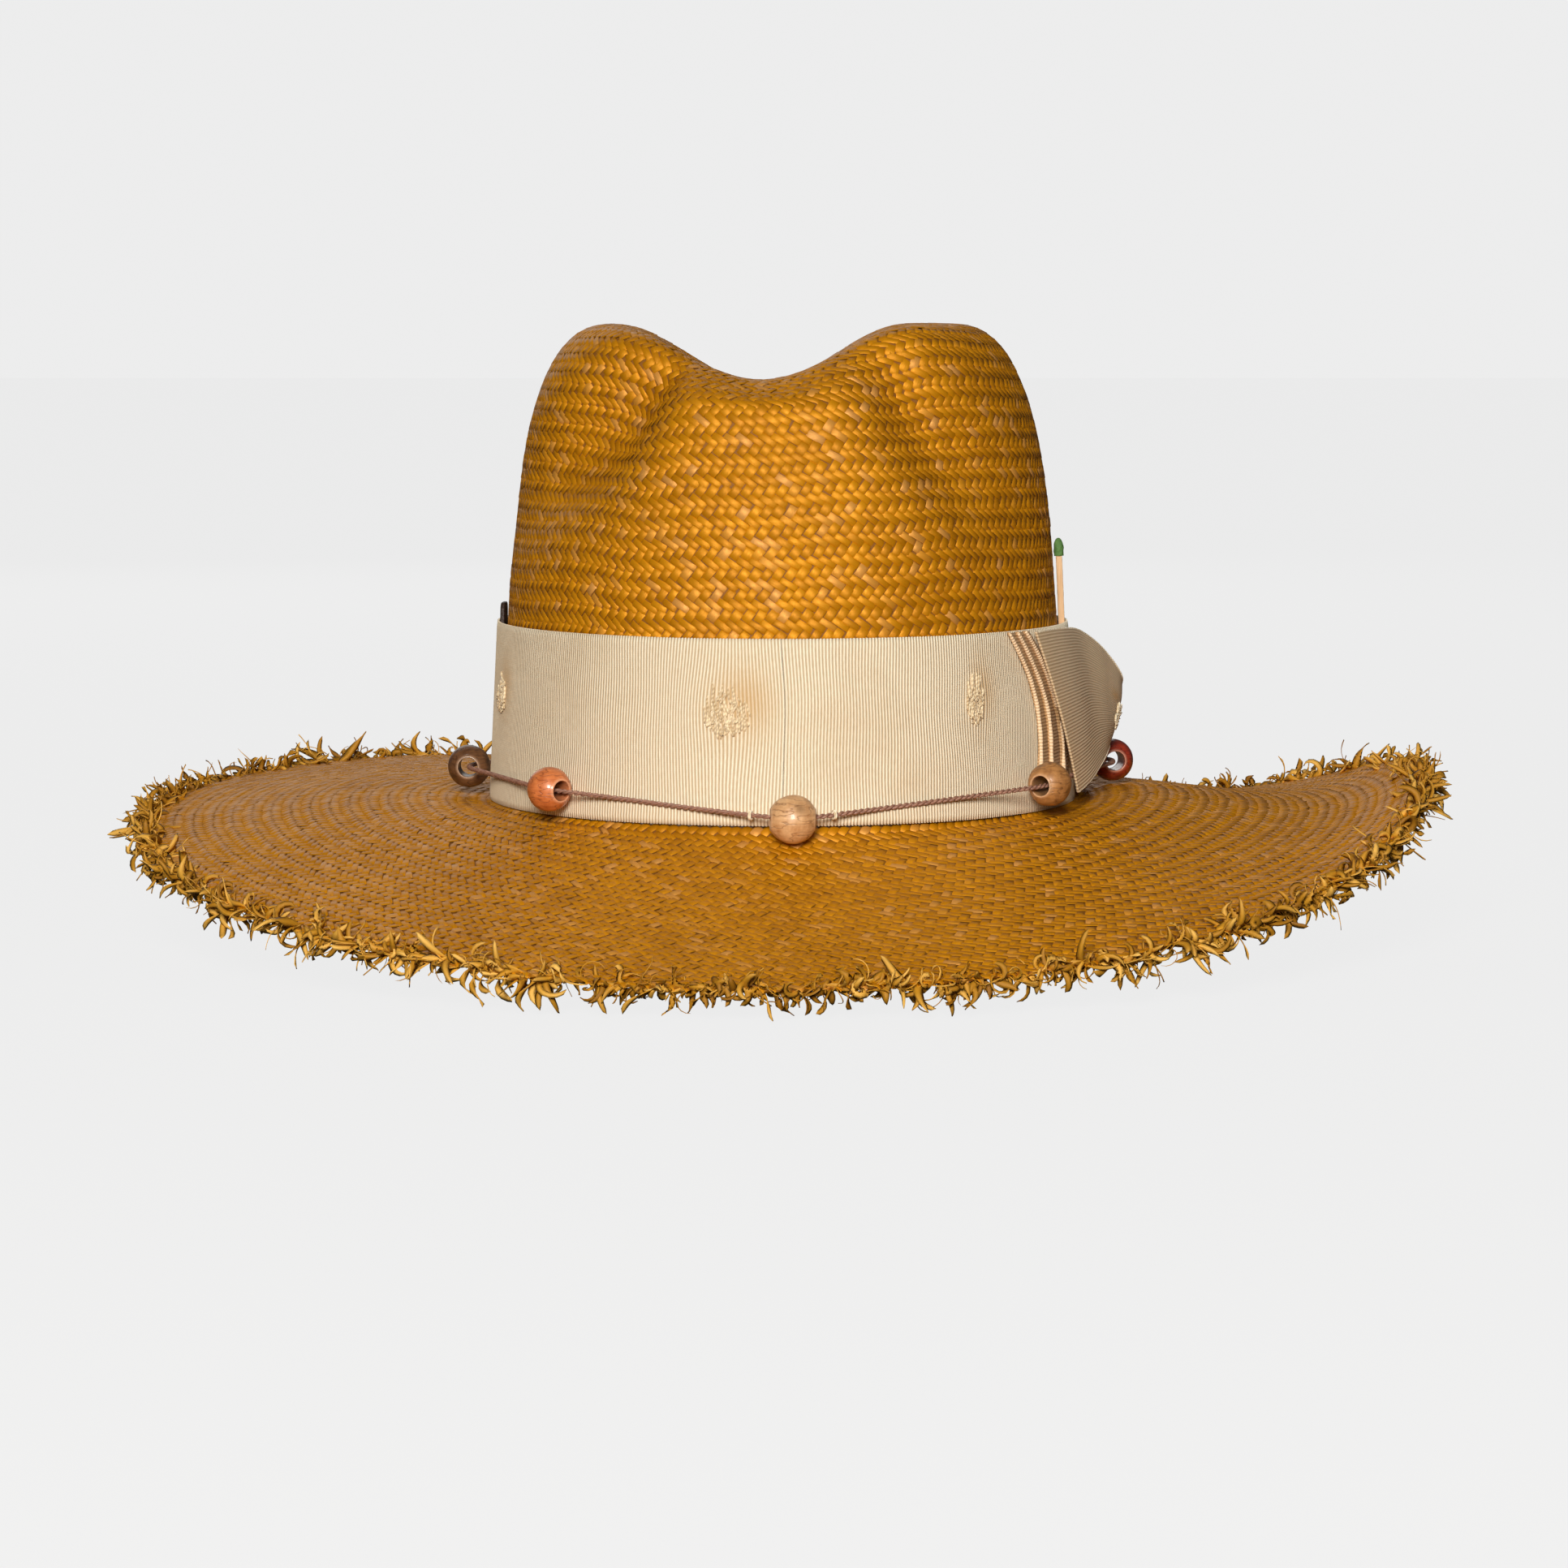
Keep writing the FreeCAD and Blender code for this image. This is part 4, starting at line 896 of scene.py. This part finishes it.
def loopPoints(along, acrossShare, extra=0.0):
    low = through([station[0] for station in loopStations], along)
    high = through([station[1] for station in loopStations], along)
    turn, stand, height = np.moveaxis(low + (high - low) * acrossShare[..., None], -1, 0)
    bulge = bow["bulge"] * np.sin(acrossShare * math.pi)
    return overBand(turn, stand * mm + bow["overPleats"] + bulge + extra + bow["thick"], height * mm)


def torn(acrossShare):
    # how much of the loop's length is torn away near its lower corner
    return 0.17 * hump(acrossShare, 0.20, 0.11)


along, acrossShare = np.meshgrid(np.linspace(0, 1, 121), np.linspace(0, 1, 71))
bite = torn(acrossShare) * (1 + 0.25 * np.sin(acrossShare * 160))
reach = along * (1 - bite * along ** 2)
dent = -0.5 * mm * hump(along, 0.45, 0.16) * hump(acrossShare, 0.45, 0.3) \
    + 0.14 * mm * np.sin(acrossShare * 12 + along * 7) * along
points = loopPoints(reach, acrossShare, dent)
chart = np.stack([acrossShare * 49, along * 48], -1)
smudge = 0.8 * hump(along, 0.70, 0.05) * hump(acrossShare, 0.62, 0.06)
tornEdge = 0.5 * np.clip((along - 0.93) / 0.07, 0, 1) * hump(acrossShare, 0.2, 0.2)
stain = smudge + 0.25 * hump(along, 0, 0.12) + tornEdge
loopShadedTone = ribbonFinish("loopGrosgrain", bow["faceLight"], bow["faceDark"])
sheetPiece("bow_loop_ribbon", points, chart, stain, bow["thick"], loopShadedTone,
           "bow_loop")

edgeAlong = np.linspace(0.03, 0.995, 230)
upperEdge = loopPoints(edgeAlong, np.full(230, 0.995), -0.25 * mm)
lowerEdge = loopPoints(np.linspace(0.02, 0.99, 150), np.full(150, 0.005), -0.25 * mm)
endEdge = loopPoints(np.full(90, 0.99), np.linspace(0.42, 0.99, 90), -0.25 * mm)
selvedges = [upperEdge, lowerEdge, endEdge]
dotted = [0.30 * mm * (1 + 0.40 * np.sin(np.arange(len(line)) * 1.9)) for line in selvedges]
tubes("bow_loop_selvedge", selvedges, dotted, 6, creamThread)


def onLoop(x, y, stand):
    # x and y in mm on the loop's face, from its worn place
    return loopPoints(np.clip(0.80 + x / 48, 0, 0.99), np.clip(0.36 + y / 49 + 0 * x, 0.01, 0.99), stand)


loopPaths, loopRadii = wornPatch(7.5, 14, onLoop, 14, 77)
rng = np.random.default_rng(9)
for number in range(26):  # threads that stand out of the torn edge
    share = 0.06 + 0.32 * number / 25
    root = 1 - torn(share)
    t = np.linspace(0, 1, 7)
    reachOut = root - 0.05 + (0.05 + rng.uniform(0.02, 0.07)) * t
    drift, curlOut = rng.normal(0, 0.02), rng.uniform(-0.6, 0.7)
    loopPaths.append(loopPoints(np.minimum(reachOut, 1.0), share + drift * t, curlOut * t ** 2 * mm))
    loopRadii.append(0.22 * mm * (1 - 0.4 * t))
tubes("bow_worn_threads", loopPaths, loopRadii, 5, creamThread)

across, up = np.meshgrid(np.linspace(0, 1, 71), np.linspace(0, 1, 41))
columnsAt = through(tailColumns, across)
turnLow, heightLow, turnHigh, heightHigh, stand = np.moveaxis(columnsAt, -1, 0)
rounding = np.sqrt(np.clip(1 - (2 * up - 1) ** 12, 0, 1)) * 0.5 + 0.5
tailHeight = (heightLow + (heightHigh - heightLow) * up) * mm
tailPoints = overBand(turnLow + (turnHigh - turnLow) * up, stand * mm * rounding + bow["thick"], tailHeight)
# the tail darker towards its top: painted shade under the loop
sheetPiece("bow_tail_ribbon", tailPoints, np.stack([across * 42, up * 34], -1), 0.2 * up, bow["thick"],
           loopShadedTone, "bow_folded_tail")

# ---- cord, its tacks and its knot ----
print("cord")

cord = {
    "ply": 0.40 * mm, "plyApart": 0.88, "twist": 4.2 * mm, "stations": 1900, "thread": 0.26 * mm,
    "knotTurns": 2.6, "knotLong": 2.7 * mm, "knotThick": 0.5 * mm, "tackReach": 1.02 * mm, "tackTall": 1.15,
}


def sectionLine(nodeName, count):
    # the middle of a closed tube, found by cutting it with upright half planes
    mesh = frame["nodes"][nodeName].data
    places = np.array([v.co for v in mesh.vertices])
    ends = places[np.array([e.vertices for e in mesh.edges])]
    middles = []
    for angle in np.arange(count) / count * 2 * math.pi:
        normal = np.array([-math.sin(angle), math.cos(angle), 0])
        ahead = np.array([math.cos(angle), math.sin(angle), 0])
        side = ends @ normal
        cut = (side[:, 0] * side[:, 1] <= 0) & ((ends @ ahead).min(1) > 0)
        a, b, s0, s1 = ends[cut, 0], ends[cut, 1], side[cut, 0], side[cut, 1]
        share = (s0 / np.where(s0 == s1, 1, s0 - s1))[:, None]
        cuts = a + (b - a) * share
        middles.append((cuts.min(0) + cuts.max(0)) / 2 if len(cuts) else middles[-1])
    line = np.array(middles)
    for times in range(3):
        line = (np.roll(line, 1, 0) + 2 * line + np.roll(line, -1, 0)) / 4
    return line


def evenLoop(line, count):
    closed = np.concatenate([line, line[:1]])
    length = np.concatenate([[0], np.cumsum(np.linalg.norm(np.diff(closed, axis=0), axis=1))])
    places = np.linspace(0, length[-1], count)
    return np.stack([np.interp(places, length, closed[:, axis]) for axis in range(3)], 1), length[-1]


cordMiddle, cordLength = evenLoop(sectionLine("bead_cord", 900), cord["stations"])
ahead = np.gradient(cordMiddle, axis=0)
ahead /= np.linalg.norm(ahead, axis=1, keepdims=True)
side = np.cross(ahead, [0, 0, 1])
side /= np.linalg.norm(side, axis=1, keepdims=True)
upward = np.cross(side, ahead)
twists = round(cordLength / cord["twist"]) * 2 * math.pi * np.linspace(0, 1, cord["stations"])


def circled(centre, reach, angles, across, over):
    # points on a circle about a centre, by angle from one direction to the other
    return centre + reach * (np.cos(angles)[:, None] * across + np.sin(angles)[:, None] * over)


plyReach = cord["ply"] * cord["plyApart"]
plies = [circled(cordMiddle, plyReach, twists + start, side, upward) for start in (0, math.pi)]


def cordFinish():
    finish = Finish("waxedCord", Specular_IOR_Level=0.4, Coat_Weight=0.1)
    run, turn, unused = finish.node("SeparateXYZ", {}, finish.chart())
    strand = ((run * 3.4 + turn * 12.566)).sine() * 0.5 + 0.5
    fuzz = finish.noise(finish.place(), 700, 3)
    tone = finish.mix((strand * 0.4 + fuzz * 0.8 - 0.15).clip(), srgb(104, 68, 54), srgb(186, 140, 118))
    finish.bumped(strand * 0.6 + fuzz * 0.4, 0.00007, 0.6)
    return finish.paint(Base_Color=tone, Roughness=0.5 + fuzz * 0.2)


waxedCord = cordFinish()
cordPiece = tubes("bead_cord_plies", plies, [cord["ply"], cord["ply"]], 8, waxedCord)
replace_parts(cordPiece, "bead_cord")

knotPlaces = np.array([v.co for v in frame["nodes"]["cord_knot"].data.vertices])
knotAt = int(np.argmin(np.linalg.norm(cordMiddle - knotPlaces.mean(0), axis=1)))
t = np.linspace(0, 1, 60)
spin = t * cord["knotTurns"] * 2 * math.pi
knotReach = (0.78 + 0.52 * np.sin(t * math.pi) ** 0.35) * mm
knotLine = cordMiddle[knotAt] + (t - 0.5)[:, None] * cord["knotLong"] * ahead[knotAt]
knotPath = circled(knotLine, knotReach[:, None], spin, side[knotAt], upward[knotAt])
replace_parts(tubes("cord_knot_turns", [knotPath], [cord["knotThick"]], 10, waxedCord), "cord_knot")

tackPlaces = np.array([v.co for v in frame["nodes"]["cord_tack_stitches"].data.vertices])
frontX = joints["bead_front_natural_spin"]["pos_m"][0]
tackPaths = []
for group in (tackPlaces[tackPlaces[:, 0] < frontX], tackPlaces[tackPlaces[:, 0] > frontX]):
    near = int(np.argmin(np.linalg.norm(cordMiddle - group.mean(0), axis=1)))
    for shift in (-0.22 * mm, 0.24 * mm):
        bendRound = np.radians(np.linspace(-128, 128, 25))
        outwards = side[near] * (-1 if side[near][:2] @ cordMiddle[near][:2] < 0 else 1)
        tackPaths.append(circled(cordMiddle[near] + ahead[near] * shift, cord["tackReach"], bendRound,
                                outwards, cord["tackTall"] * upward[near]))
tackPiece = tubes("cord_tack_threads", tackPaths, [cord["thread"]] * 4, 7, creamThread)
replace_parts(tackPiece, "cord_tack_stitches")

# ---- beads ----
print("beads")

beads = {  # light, dark and crack colours, coat, lumps in mm, seed
    "bead_front_natural": (srgb(232, 188, 138), srgb(168, 112, 62), srgb(96, 56, 26), 0.25, 0.22, 1),
    "bead_right_front_brown": (srgb(206, 148, 86), srgb(120, 74, 36), srgb(62, 34, 14), 0.25, 0.30, 2),
    "bead_right_dark_red": (srgb(186, 62, 34), srgb(92, 20, 10), srgb(50, 10, 6), 0.8, 0.10, 3),
    "bead_back_right_natural": (srgb(226, 180, 128), srgb(160, 106, 60), srgb(92, 54, 26), 0.25, 0.18, 4),
    "bead_back_orange": (srgb(216, 112, 58), srgb(148, 62, 24), srgb(80, 30, 12), 0.5, 0.10, 5),
    "bead_back_left_brown": (srgb(196, 138, 80), srgb(116, 70, 34), srgb(60, 34, 14), 0.25, 0.24, 6),
    "bead_left_dark_brown": (srgb(128, 86, 52), srgb(66, 38, 20), srgb(34, 18, 8), 0.3, 0.14, 7),
    "bead_left_front_orange": (srgb(228, 136, 74), srgb(164, 78, 32), srgb(92, 34, 14), 0.5, 0.12, 8),
}
bore = 2.9 * mm


def beadFinish(name, light, dark, crack, coat):
    finish = Finish(name, Specular_IOR_Level=0.5, Coat_Roughness=0.18)
    place = finish.place()
    swirl = finish.noise(finish.scaled(place, (1.0, 1.0, 0.45)), 330, 4, 0.7)
    lines = finish.noise(finish.scaled(place, (0.35, 0.35, 2.6)), 520, 3, 0.6)
    cracks = finish.noise(finish.scaled(place, (0.5, 0.5, 1.8)), 260, 2, 0.5)
    crackMask = (1 - ((cracks - 0.5).sum("ABSOLUTE", cracks - 0.5) * 38)).clip()
    tone = finish.mix((swirl * 1.5 + lines * 0.9 - 0.72).clip(), dark, light)
    tone = finish.mix(crackMask * 0.55, tone, crack)
    rim = finish.value("rim")
    paleRim = tuple(0.45 * c + 0.5 * w for c, w in zip(light, srgb(236, 200, 168)))
    tone = finish.mix(rim * 0.6, tone, paleRim)
    # darker in the pits, and painted shade inside the bore
    hollow = finish.value("hollow")
    tone = finish.mix(hollow * 0.7, tone, tuple(c * 0.35 for c in dark))
    finish.bumped(lines * 0.5 + swirl * 0.5 - crackMask * 0.6, 0.00025, 0.5)
    return finish.paint(Base_Color=tone, Roughness=0.34 + swirl * 0.25,
                        Coat_Weight=coat * (1 - crackMask * 0.5))


def turnedBead(width):
    # half the bead's outline, spun about its bore
    radius = width / 2
    half = math.sqrt(radius ** 2 - bore ** 2)
    lean = math.atan2(half, bore)
    mouth = [(bore, half - 0.5 * mm), (bore + 0.07 * mm, half - 0.2 * mm), (bore + 0.26 * mm, half - 0.02 * mm)]
    line = [(reach, -height) for reach, height in mouth]
    for tilt in np.linspace(-lean + 0.10, lean - 0.10, 25):
        line.append((radius * math.cos(tilt), radius * math.sin(tilt)))
    line += mouth[::-1]
    line += [(bore, (half - 0.5 * mm) * f) for f in (0.5, 0, -0.5)]
    mesh = bpy.data.meshes.new("beadOutline")
    count = len(line)
    mesh.from_pydata([(r, 0, z) for r, z in line], [(k, (k + 1) % count) for k in range(count)], [])
    blank = bpy.data.objects.new("beadBlank", mesh)
    bpy.context.scene.collection.objects.link(blank)
    bpy.ops.object.select_all(action="DESELECT")
    bpy.context.view_layer.objects.active = blank
    blank.select_set(True)
    bpy.ops.object.mode_set(mode="EDIT")
    bpy.ops.mesh.select_all(action="SELECT")
    bpy.ops.mesh.spin(steps=56, angle=2 * math.pi, center=(0, 0, 0), axis=(0, 0, 1))
    bpy.ops.mesh.select_all(action="SELECT")
    bpy.ops.mesh.remove_doubles(threshold=0.00001)
    bpy.ops.mesh.normals_make_consistent(inside=False)
    bpy.ops.object.mode_set(mode="OBJECT")
    made = blank.data.copy()
    bpy.data.objects.remove(blank)
    return made


blanks = {width: turnedBead(width) for width in (13 * mm, 14.2 * mm)}
for beadName, (light, dark, crack, coat, lumps, seed) in beads.items():
    mesh = blanks[14.2 * mm if "front_natural" in beadName else 13 * mm].copy()
    mesh.name = beadName + "_wood"
    joint = joints[beadName + "_spin"]
    turnTo = Vector((0, 0, 1)).rotation_difference(Vector(joint["axis"]))
    rng = random.Random(seed)
    hollows = []
    for count in range(3):
        centre = Vector([rng.gauss(0, 1) for axis in range(3)]).normalized()
        hollows.append((centre, rng.uniform(0.25, 0.5)))
    rims, pitAndBoreShadeShares = [], []
    for vertex in mesh.vertices:
        co = vertex.co
        reach = math.hypot(co.x, co.y)
        way = co.normalized()
        nearMouth = min(max((bore + 0.9 * mm - reach) / (0.5 * mm), 0), 1)
        rims.append(nearMouth * (1 if reach > bore + 0.03 * mm else 0.4))
        lump = sum(math.sin(k * 2.1 * way.x + seed * k) * math.sin(k * 1.7 * way.y + k)
                   * math.cos(k * 1.9 * way.z + seed) for k in (1, 2, 3)) / 3
        pit = sum(math.exp(-((way - centre).length / wide * 1.9) ** 2) for centre, wide in hollows)
        # outer points: how deep in a pit; bore points: painted shade, strongest deep inside the bore
        pitAndBoreShadeShares.append(min(pit, 1) if reach > bore + 0.1 * mm else (0.9 if abs(co.z) < 3 * mm else 0.3))
        if reach > bore + 0.5 * mm:
            vertex.co = co + way * (lump - pit * 1.2 - 0.4) * lumps * mm
    for attribute, numbers in (("rim", rims), ("hollow", [d * 0.9 for d in pitAndBoreShadeShares])):
        layer = mesh.attributes.new(attribute, "FLOAT", "POINT")
        layer.data.foreach_set("value", numbers)
    mesh.transform(Matrix.Translation(joint["pos_m"]) @ turnTo.to_matrix().to_4x4())
    bead = makePiece(beadName + "_wood", mesh, beadFinish(beadName + "_finish", light, dark, crack, coat))
    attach(bead, beadName + "_body")
    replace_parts(bead, beadName)
    next(part["material_slot"] for part in frame["record"]["subparts"]
                       if part["node"] == beadName)

# ---- match ----
print("match, tab and sweatband")

match = {
    "half": 0.95 * mm, "corner": 0.22 * mm, "chip": 0.018 * mm,
    "headHalf": 1.55 * mm, "headTall": 5.4 * mm, "inHead": 3 * mm, "waist": 0.4,
}


def squareFrame(nodeName, axis):
    # the middle, the two ends and the side directions of a square rod
    places = np.array([v.co for v in frame["nodes"][nodeName].data.vertices])
    axis = np.array(axis) / np.linalg.norm(axis)
    run = places @ axis
    middle = (places.max(0) + places.min(0)) / 2
    flat = places - middle - ((places - middle) @ axis)[:, None] * axis
    diagonal = flat[np.argmax(np.linalg.norm(flat, axis=1))]
    diagonal /= np.linalg.norm(diagonal)
    other = np.cross(axis, diagonal)
    sides = (diagonal + other) / math.sqrt(2), (other - diagonal) / math.sqrt(2)
    return middle, (run.min(), run.max()), axis, *sides


def rodPiece(name, middle, axis, sideA, sideB, rings, material):
    # a rod from rings of (place along the axis, points across it)
    count = len(rings[0][1])
    points = [middle + axis * (run - middle @ axis) + a * sideA + b * sideB
              for run, ring in rings for a, b in ring]
    ends = [np.mean(points[:count], axis=0), np.mean(points[-count:], axis=0)]
    total = len(points)
    faces = gridQuads(len(rings), count, False, True).tolist()
    faces += [(total, (k + 1) % count, k) for k in range(count)]
    faces += [(total + 1, total - count + k, total - count + (k + 1) % count) for k in range(count)]
    mesh = bpy.data.meshes.new(name)
    mesh.from_pydata([tuple(p) for p in points] + [tuple(p) for p in ends], [], faces)
    shell = bmesh.new()
    shell.from_mesh(mesh)
    bmesh.ops.recalc_face_normals(shell, faces=shell.faces)
    shell.to_mesh(mesh)
    shell.free()
    piece = makePiece(name, mesh, material)
    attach(piece, "match")
    return piece


def matchWood():
    finish = Finish("matchWood", Specular_IOR_Level=0.3)
    place = finish.place()
    grain = finish.noise(finish.scaled(place, (1.0, 1.0, 0.05)), 2600, 4, 0.6)
    broad = finish.noise(finish.scaled(place, (1.0, 1.0, 0.12)), 600, 2)
    finish.bumped(grain, 0.00012, 0.6)
    tone = finish.mix((grain * 0.9 + broad * 0.6 - 0.35).clip(), srgb(196, 150, 104), srgb(246, 214, 172))
    return finish.paint(Base_Color=tone, Roughness=0.55 + grain * 0.25)


def matchTip():
    finish = Finish("matchTip", Specular_IOR_Level=0.35)
    place = finish.place()
    grit = finish.noise(place, 2300, 4, 0.65)
    lumps = finish.noise(place, 640, 3, 0.6)
    tone = finish.mix((grit * 0.7 + lumps * 0.8 - 0.3).clip(), srgb(46, 82, 40), srgb(116, 158, 84))
    finish.bumped(grit * 0.5 + lumps, 0.0003, 0.7)
    return finish.paint(Base_Color=tone, Roughness=0.6 + grit * 0.3)


rng = np.random.default_rng(12)
middle, (runLow, runHigh), axis, sideA, sideB = squareFrame("match_stick", joints["match_pull"]["axis"])
corners = [(1, 1), (-1, 1), (-1, -1), (1, -1)]
rings = []
for run in np.linspace(runLow, runHigh - 0.3 * mm, 46):
    ring = []
    for s, t in corners:
        for tilt in ((0, 45, 90) if s * t > 0 else (90, 45, 0)):
            inner = match["half"] - match["corner"]
            chip = rng.normal(0, match["chip"])
            ring.append((s * (inner + match["corner"] * math.cos(math.radians(tilt))) + chip,
                         t * (inner + match["corner"] * math.sin(math.radians(tilt))) + chip))
    rings.append((run, ring))
stickPiece = rodPiece("match_stick_wood", middle, axis, sideA, sideB, rings, matchWood())
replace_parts(stickPiece, "match_stick")

headLow = runHigh - match["inHead"]
rings = []
for share in np.linspace(0, 1, 26):
    if share < match["waist"]:
        reach = 0.93 + 0.07 * math.sin(share / match["waist"] * math.pi / 2)
    else:
        reach = math.sqrt(max(1 - ((share - match["waist"]) / 0.61) ** 2, 0.02))
    ring = []
    for angle in np.linspace(0, 2 * math.pi, 28, endpoint=False):
        lump = 0.035 * math.sin(3 * angle + share * 9) + 0.03 * math.sin(5 * angle - share * 17) - 0.03
        out = match["headHalf"] * reach * (1 + lump)
        ring.append((out * math.cos(angle), out * math.sin(angle)))
    rings.append((headLow + match["headTall"] * share, ring))
dipPiece = rodPiece("match_head_dip", middle, axis, sideA, sideB, rings, matchTip())
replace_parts(dipPiece, "match_head")

# ---- leather tab ----

def leatherFinish(name, light, dark, pore, wear):
    finish = Finish(name, Specular_IOR_Level=0.4)
    place = finish.place()
    cells = finish.node("TexVoronoi", {"feature": "DISTANCE_TO_EDGE"}, Vector=place, Scale=pore)[0]
    broad = finish.noise(place, 60, 4, 0.6)
    fine = finish.noise(place, pore * 1.7, 3, 0.6)
    crease = (cells * 5).clip()
    tone = finish.mix((broad * 1.3 + fine * 0.4 - 0.35).clip(), dark, light)
    tone = finish.mix((1 - crease) * 0.55, tone, tuple(c * 0.5 for c in dark))
    rubbed = tuple(min(c * 1.7 + 0.02, 1) for c in light)
    tone = finish.mix(((broad - 0.55) * 4).clip() * wear, tone, rubbed)
    finish.bumped(crease * 0.6 + fine * 0.4, 0.0002, 0.5)
    return finish.paint(Base_Color=tone, Roughness=0.45 + fine * 0.25)


def bevelledCopy(name, nodeName, width, material):
    # the node's own shape with its flat faces merged and its edges rounded
    mesh = frame["nodes"][nodeName].data.copy()
    mesh.name = name
    piece = makePiece(name, mesh, material)
    bpy.ops.object.select_all(action="DESELECT")
    bpy.context.view_layer.objects.active = piece
    piece.select_set(True)
    bpy.ops.object.mode_set(mode="EDIT")
    bpy.ops.mesh.select_all(action="SELECT")
    bpy.ops.mesh.remove_doubles(threshold=0.00001)
    bpy.ops.mesh.dissolve_limited(angle_limit=math.radians(2))
    bpy.ops.object.mode_set(mode="OBJECT")
    edges = piece.modifiers.new("edges", "BEVEL")
    edges.width, edges.segments, edges.limit_method = width, 3, "ANGLE"
    edges.angle_limit = math.radians(35)
    bpy.ops.object.modifier_apply(modifier="edges")
    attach(piece, "hat")
    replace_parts(piece, nodeName)
    return piece


bevelledCopy("leather_tab_hide", "leather_tab", 0.32 * mm,
             leatherFinish("tabLeather", srgb(70, 50, 40), srgb(30, 20, 16), 900, 0.5))

# ---- sweatband ----

sweat = {
    "bottom": 0.6 * mm, "top": 32 * mm, "thick": 1.2 * mm, "reed": 0.8 * mm,
    "columns": 420, "bevel": 0.12 * mm, "round": 0.45 * mm,
    "stitchCount": 72, "stitchHeight": 3.4 * mm, "stitchHalf": 1.6 * mm,
    "stitchRadius": 0.175 * mm, "room": 0.06 * mm,
}


def wallOffset(height):
    return -ribbon["taper"] * height


def sweatbandPiece(material):
    columns, bevel, curve, thick = sweat["columns"], sweat["bevel"], sweat["round"], sweat["thick"]
    shares = np.arange(columns) / columns
    turns, girth = evenTurns(shares, 0)
    wave = 0.05 * np.sin(np.radians(turns) * 11) + 0.04 * np.sin(np.radians(turns) * 23 + 1)
    tall = sweat["top"] - sweat["bottom"]
    profile = [(share * tall, 0.0) for share in np.linspace(0.02, 0.98, 31)]
    # the strip's rounded edges, as the way in from the edge and the depth
    edge = [(bevel, bevel), (0, curve), (0, thick - curve), (bevel, thick - bevel)]
    profile += [(tall - drop, depth) for drop, depth in edge]
    profile += [(share * tall, thick) for share in np.linspace(0.98, 0.02, 9)]
    profile += edge[::-1]
    rows, chart = [], []
    for rise, depth in profile:
        height = sweat["bottom"] + rise
        sway = wave * mm * (1 if depth < 0.3 * mm else 0) * np.sin(math.pi * rise / tall) + 0.03 * mm
        rows.append(standing(turns, wallOffset(height) + depth + sway * (depth < 0.3 * mm), height))
        chart.append(np.stack([shares * girth / mm, np.full(columns, rise / mm)], -1))
    points = np.stack(rows).reshape(-1, 3)
    mesh = meshFrom("sweatband_leather", points, gridQuads(len(rows), columns, True, True)[:, ::-1],
                    np.stack(chart).reshape(-1, 2))
    piece = makePiece("sweatband_leather", mesh, material)
    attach(piece, "hat")
    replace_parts(piece, "sweatband")
    return piece


sweatbandPiece(leatherFinish("sweatLeather", srgb(196, 150, 104), srgb(138, 94, 58), 1300, 0.3))


def reedFinish():
    finish = Finish("reedWrap", Specular_IOR_Level=0.4)
    run, turn, unused = finish.node("SeparateXYZ", {}, finish.chart())
    wrap = (run * 6.2832 / 0.9 + turn * 6.2832).sine() * 0.5 + 0.5
    fleck = finish.noise(finish.place(), 900, 3)
    finish.bumped(wrap * 0.7 + fleck * 0.3, 0.00012, 0.5)
    tone = finish.mix((wrap * 0.5 + fleck * 0.6 - 0.1).clip(), srgb(120, 84, 54), srgb(186, 146, 104))
    return finish.paint(Base_Color=tone, Roughness=0.5 + fleck * 0.2)


reedTurns, reedGirth = evenTurns(np.linspace(0, 0.99999, 500), 0.6 * mm)
reedPath = standing(reedTurns, sweat["thick"] / 2, sweat["bottom"] - sweat["reed"])
reedPiece = tubes("sweatband_reed_wrap", [reedPath], [0.78 * mm], 12, reedFinish())
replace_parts(reedPiece, "sweatband_reed")

stitchPaths = []
for number in range(sweat["stitchCount"]):
    turn = 360 * number / sweat["stitchCount"]
    inside = wallOffset(sweat["stitchHeight"]) - sweat["room"] - sweat["stitchRadius"]
    middle = standing(turn, inside, sweat["stitchHeight"])
    angle = math.radians(turn)
    tangent = np.array([math.cos(angle), math.sin(angle), 0])
    inward = np.array([-math.sin(angle), math.cos(angle), 0])
    t = np.linspace(-1, 1, 9)
    rise = 0.06 * mm * (1 - t ** 2) - 0.12 * mm * np.abs(t) ** 6
    slant = 0.25 * mm * t
    stitchPaths.append(middle + tangent * (t * sweat["stitchHalf"])[:, None] + inward * rise[:, None]
                       + np.array([0, 0, 1]) * slant[:, None])
stitchPiece = tubes("sweatband_stitch_threads", stitchPaths, [sweat["stitchRadius"]] * len(stitchPaths), 7,
                    creamThread)
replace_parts(stitchPiece, "sweatband_stitches")

# ---- floor ----
floorLow = -0.043


def pale():
    finish = Finish("paleStage", Roughness=0.95, Specular_IOR_Level=0.0)
    finish.shader.inputs["Emission Strength"].default_value = studio["floorGlow"]
    finish.shader.inputs["Emission Color"].default_value = (1, 1, 1, 1)
    speck = finish.noise(finish.place(), 3, 2)
    brighter = tuple(c * 1.02 for c in studio["floorTint"])
    return finish.paint(Base_Color=finish.mix(speck, studio["floorTint"], brighter))


bpy.ops.mesh.primitive_plane_add(size=studio["floorWide"], location=(0, 0, floorLow))
floor = bpy.context.active_object
floor.name = "floor"
floor.visible_diffuse = False
floor.visible_glossy = False
floor.data.materials.append(pale())
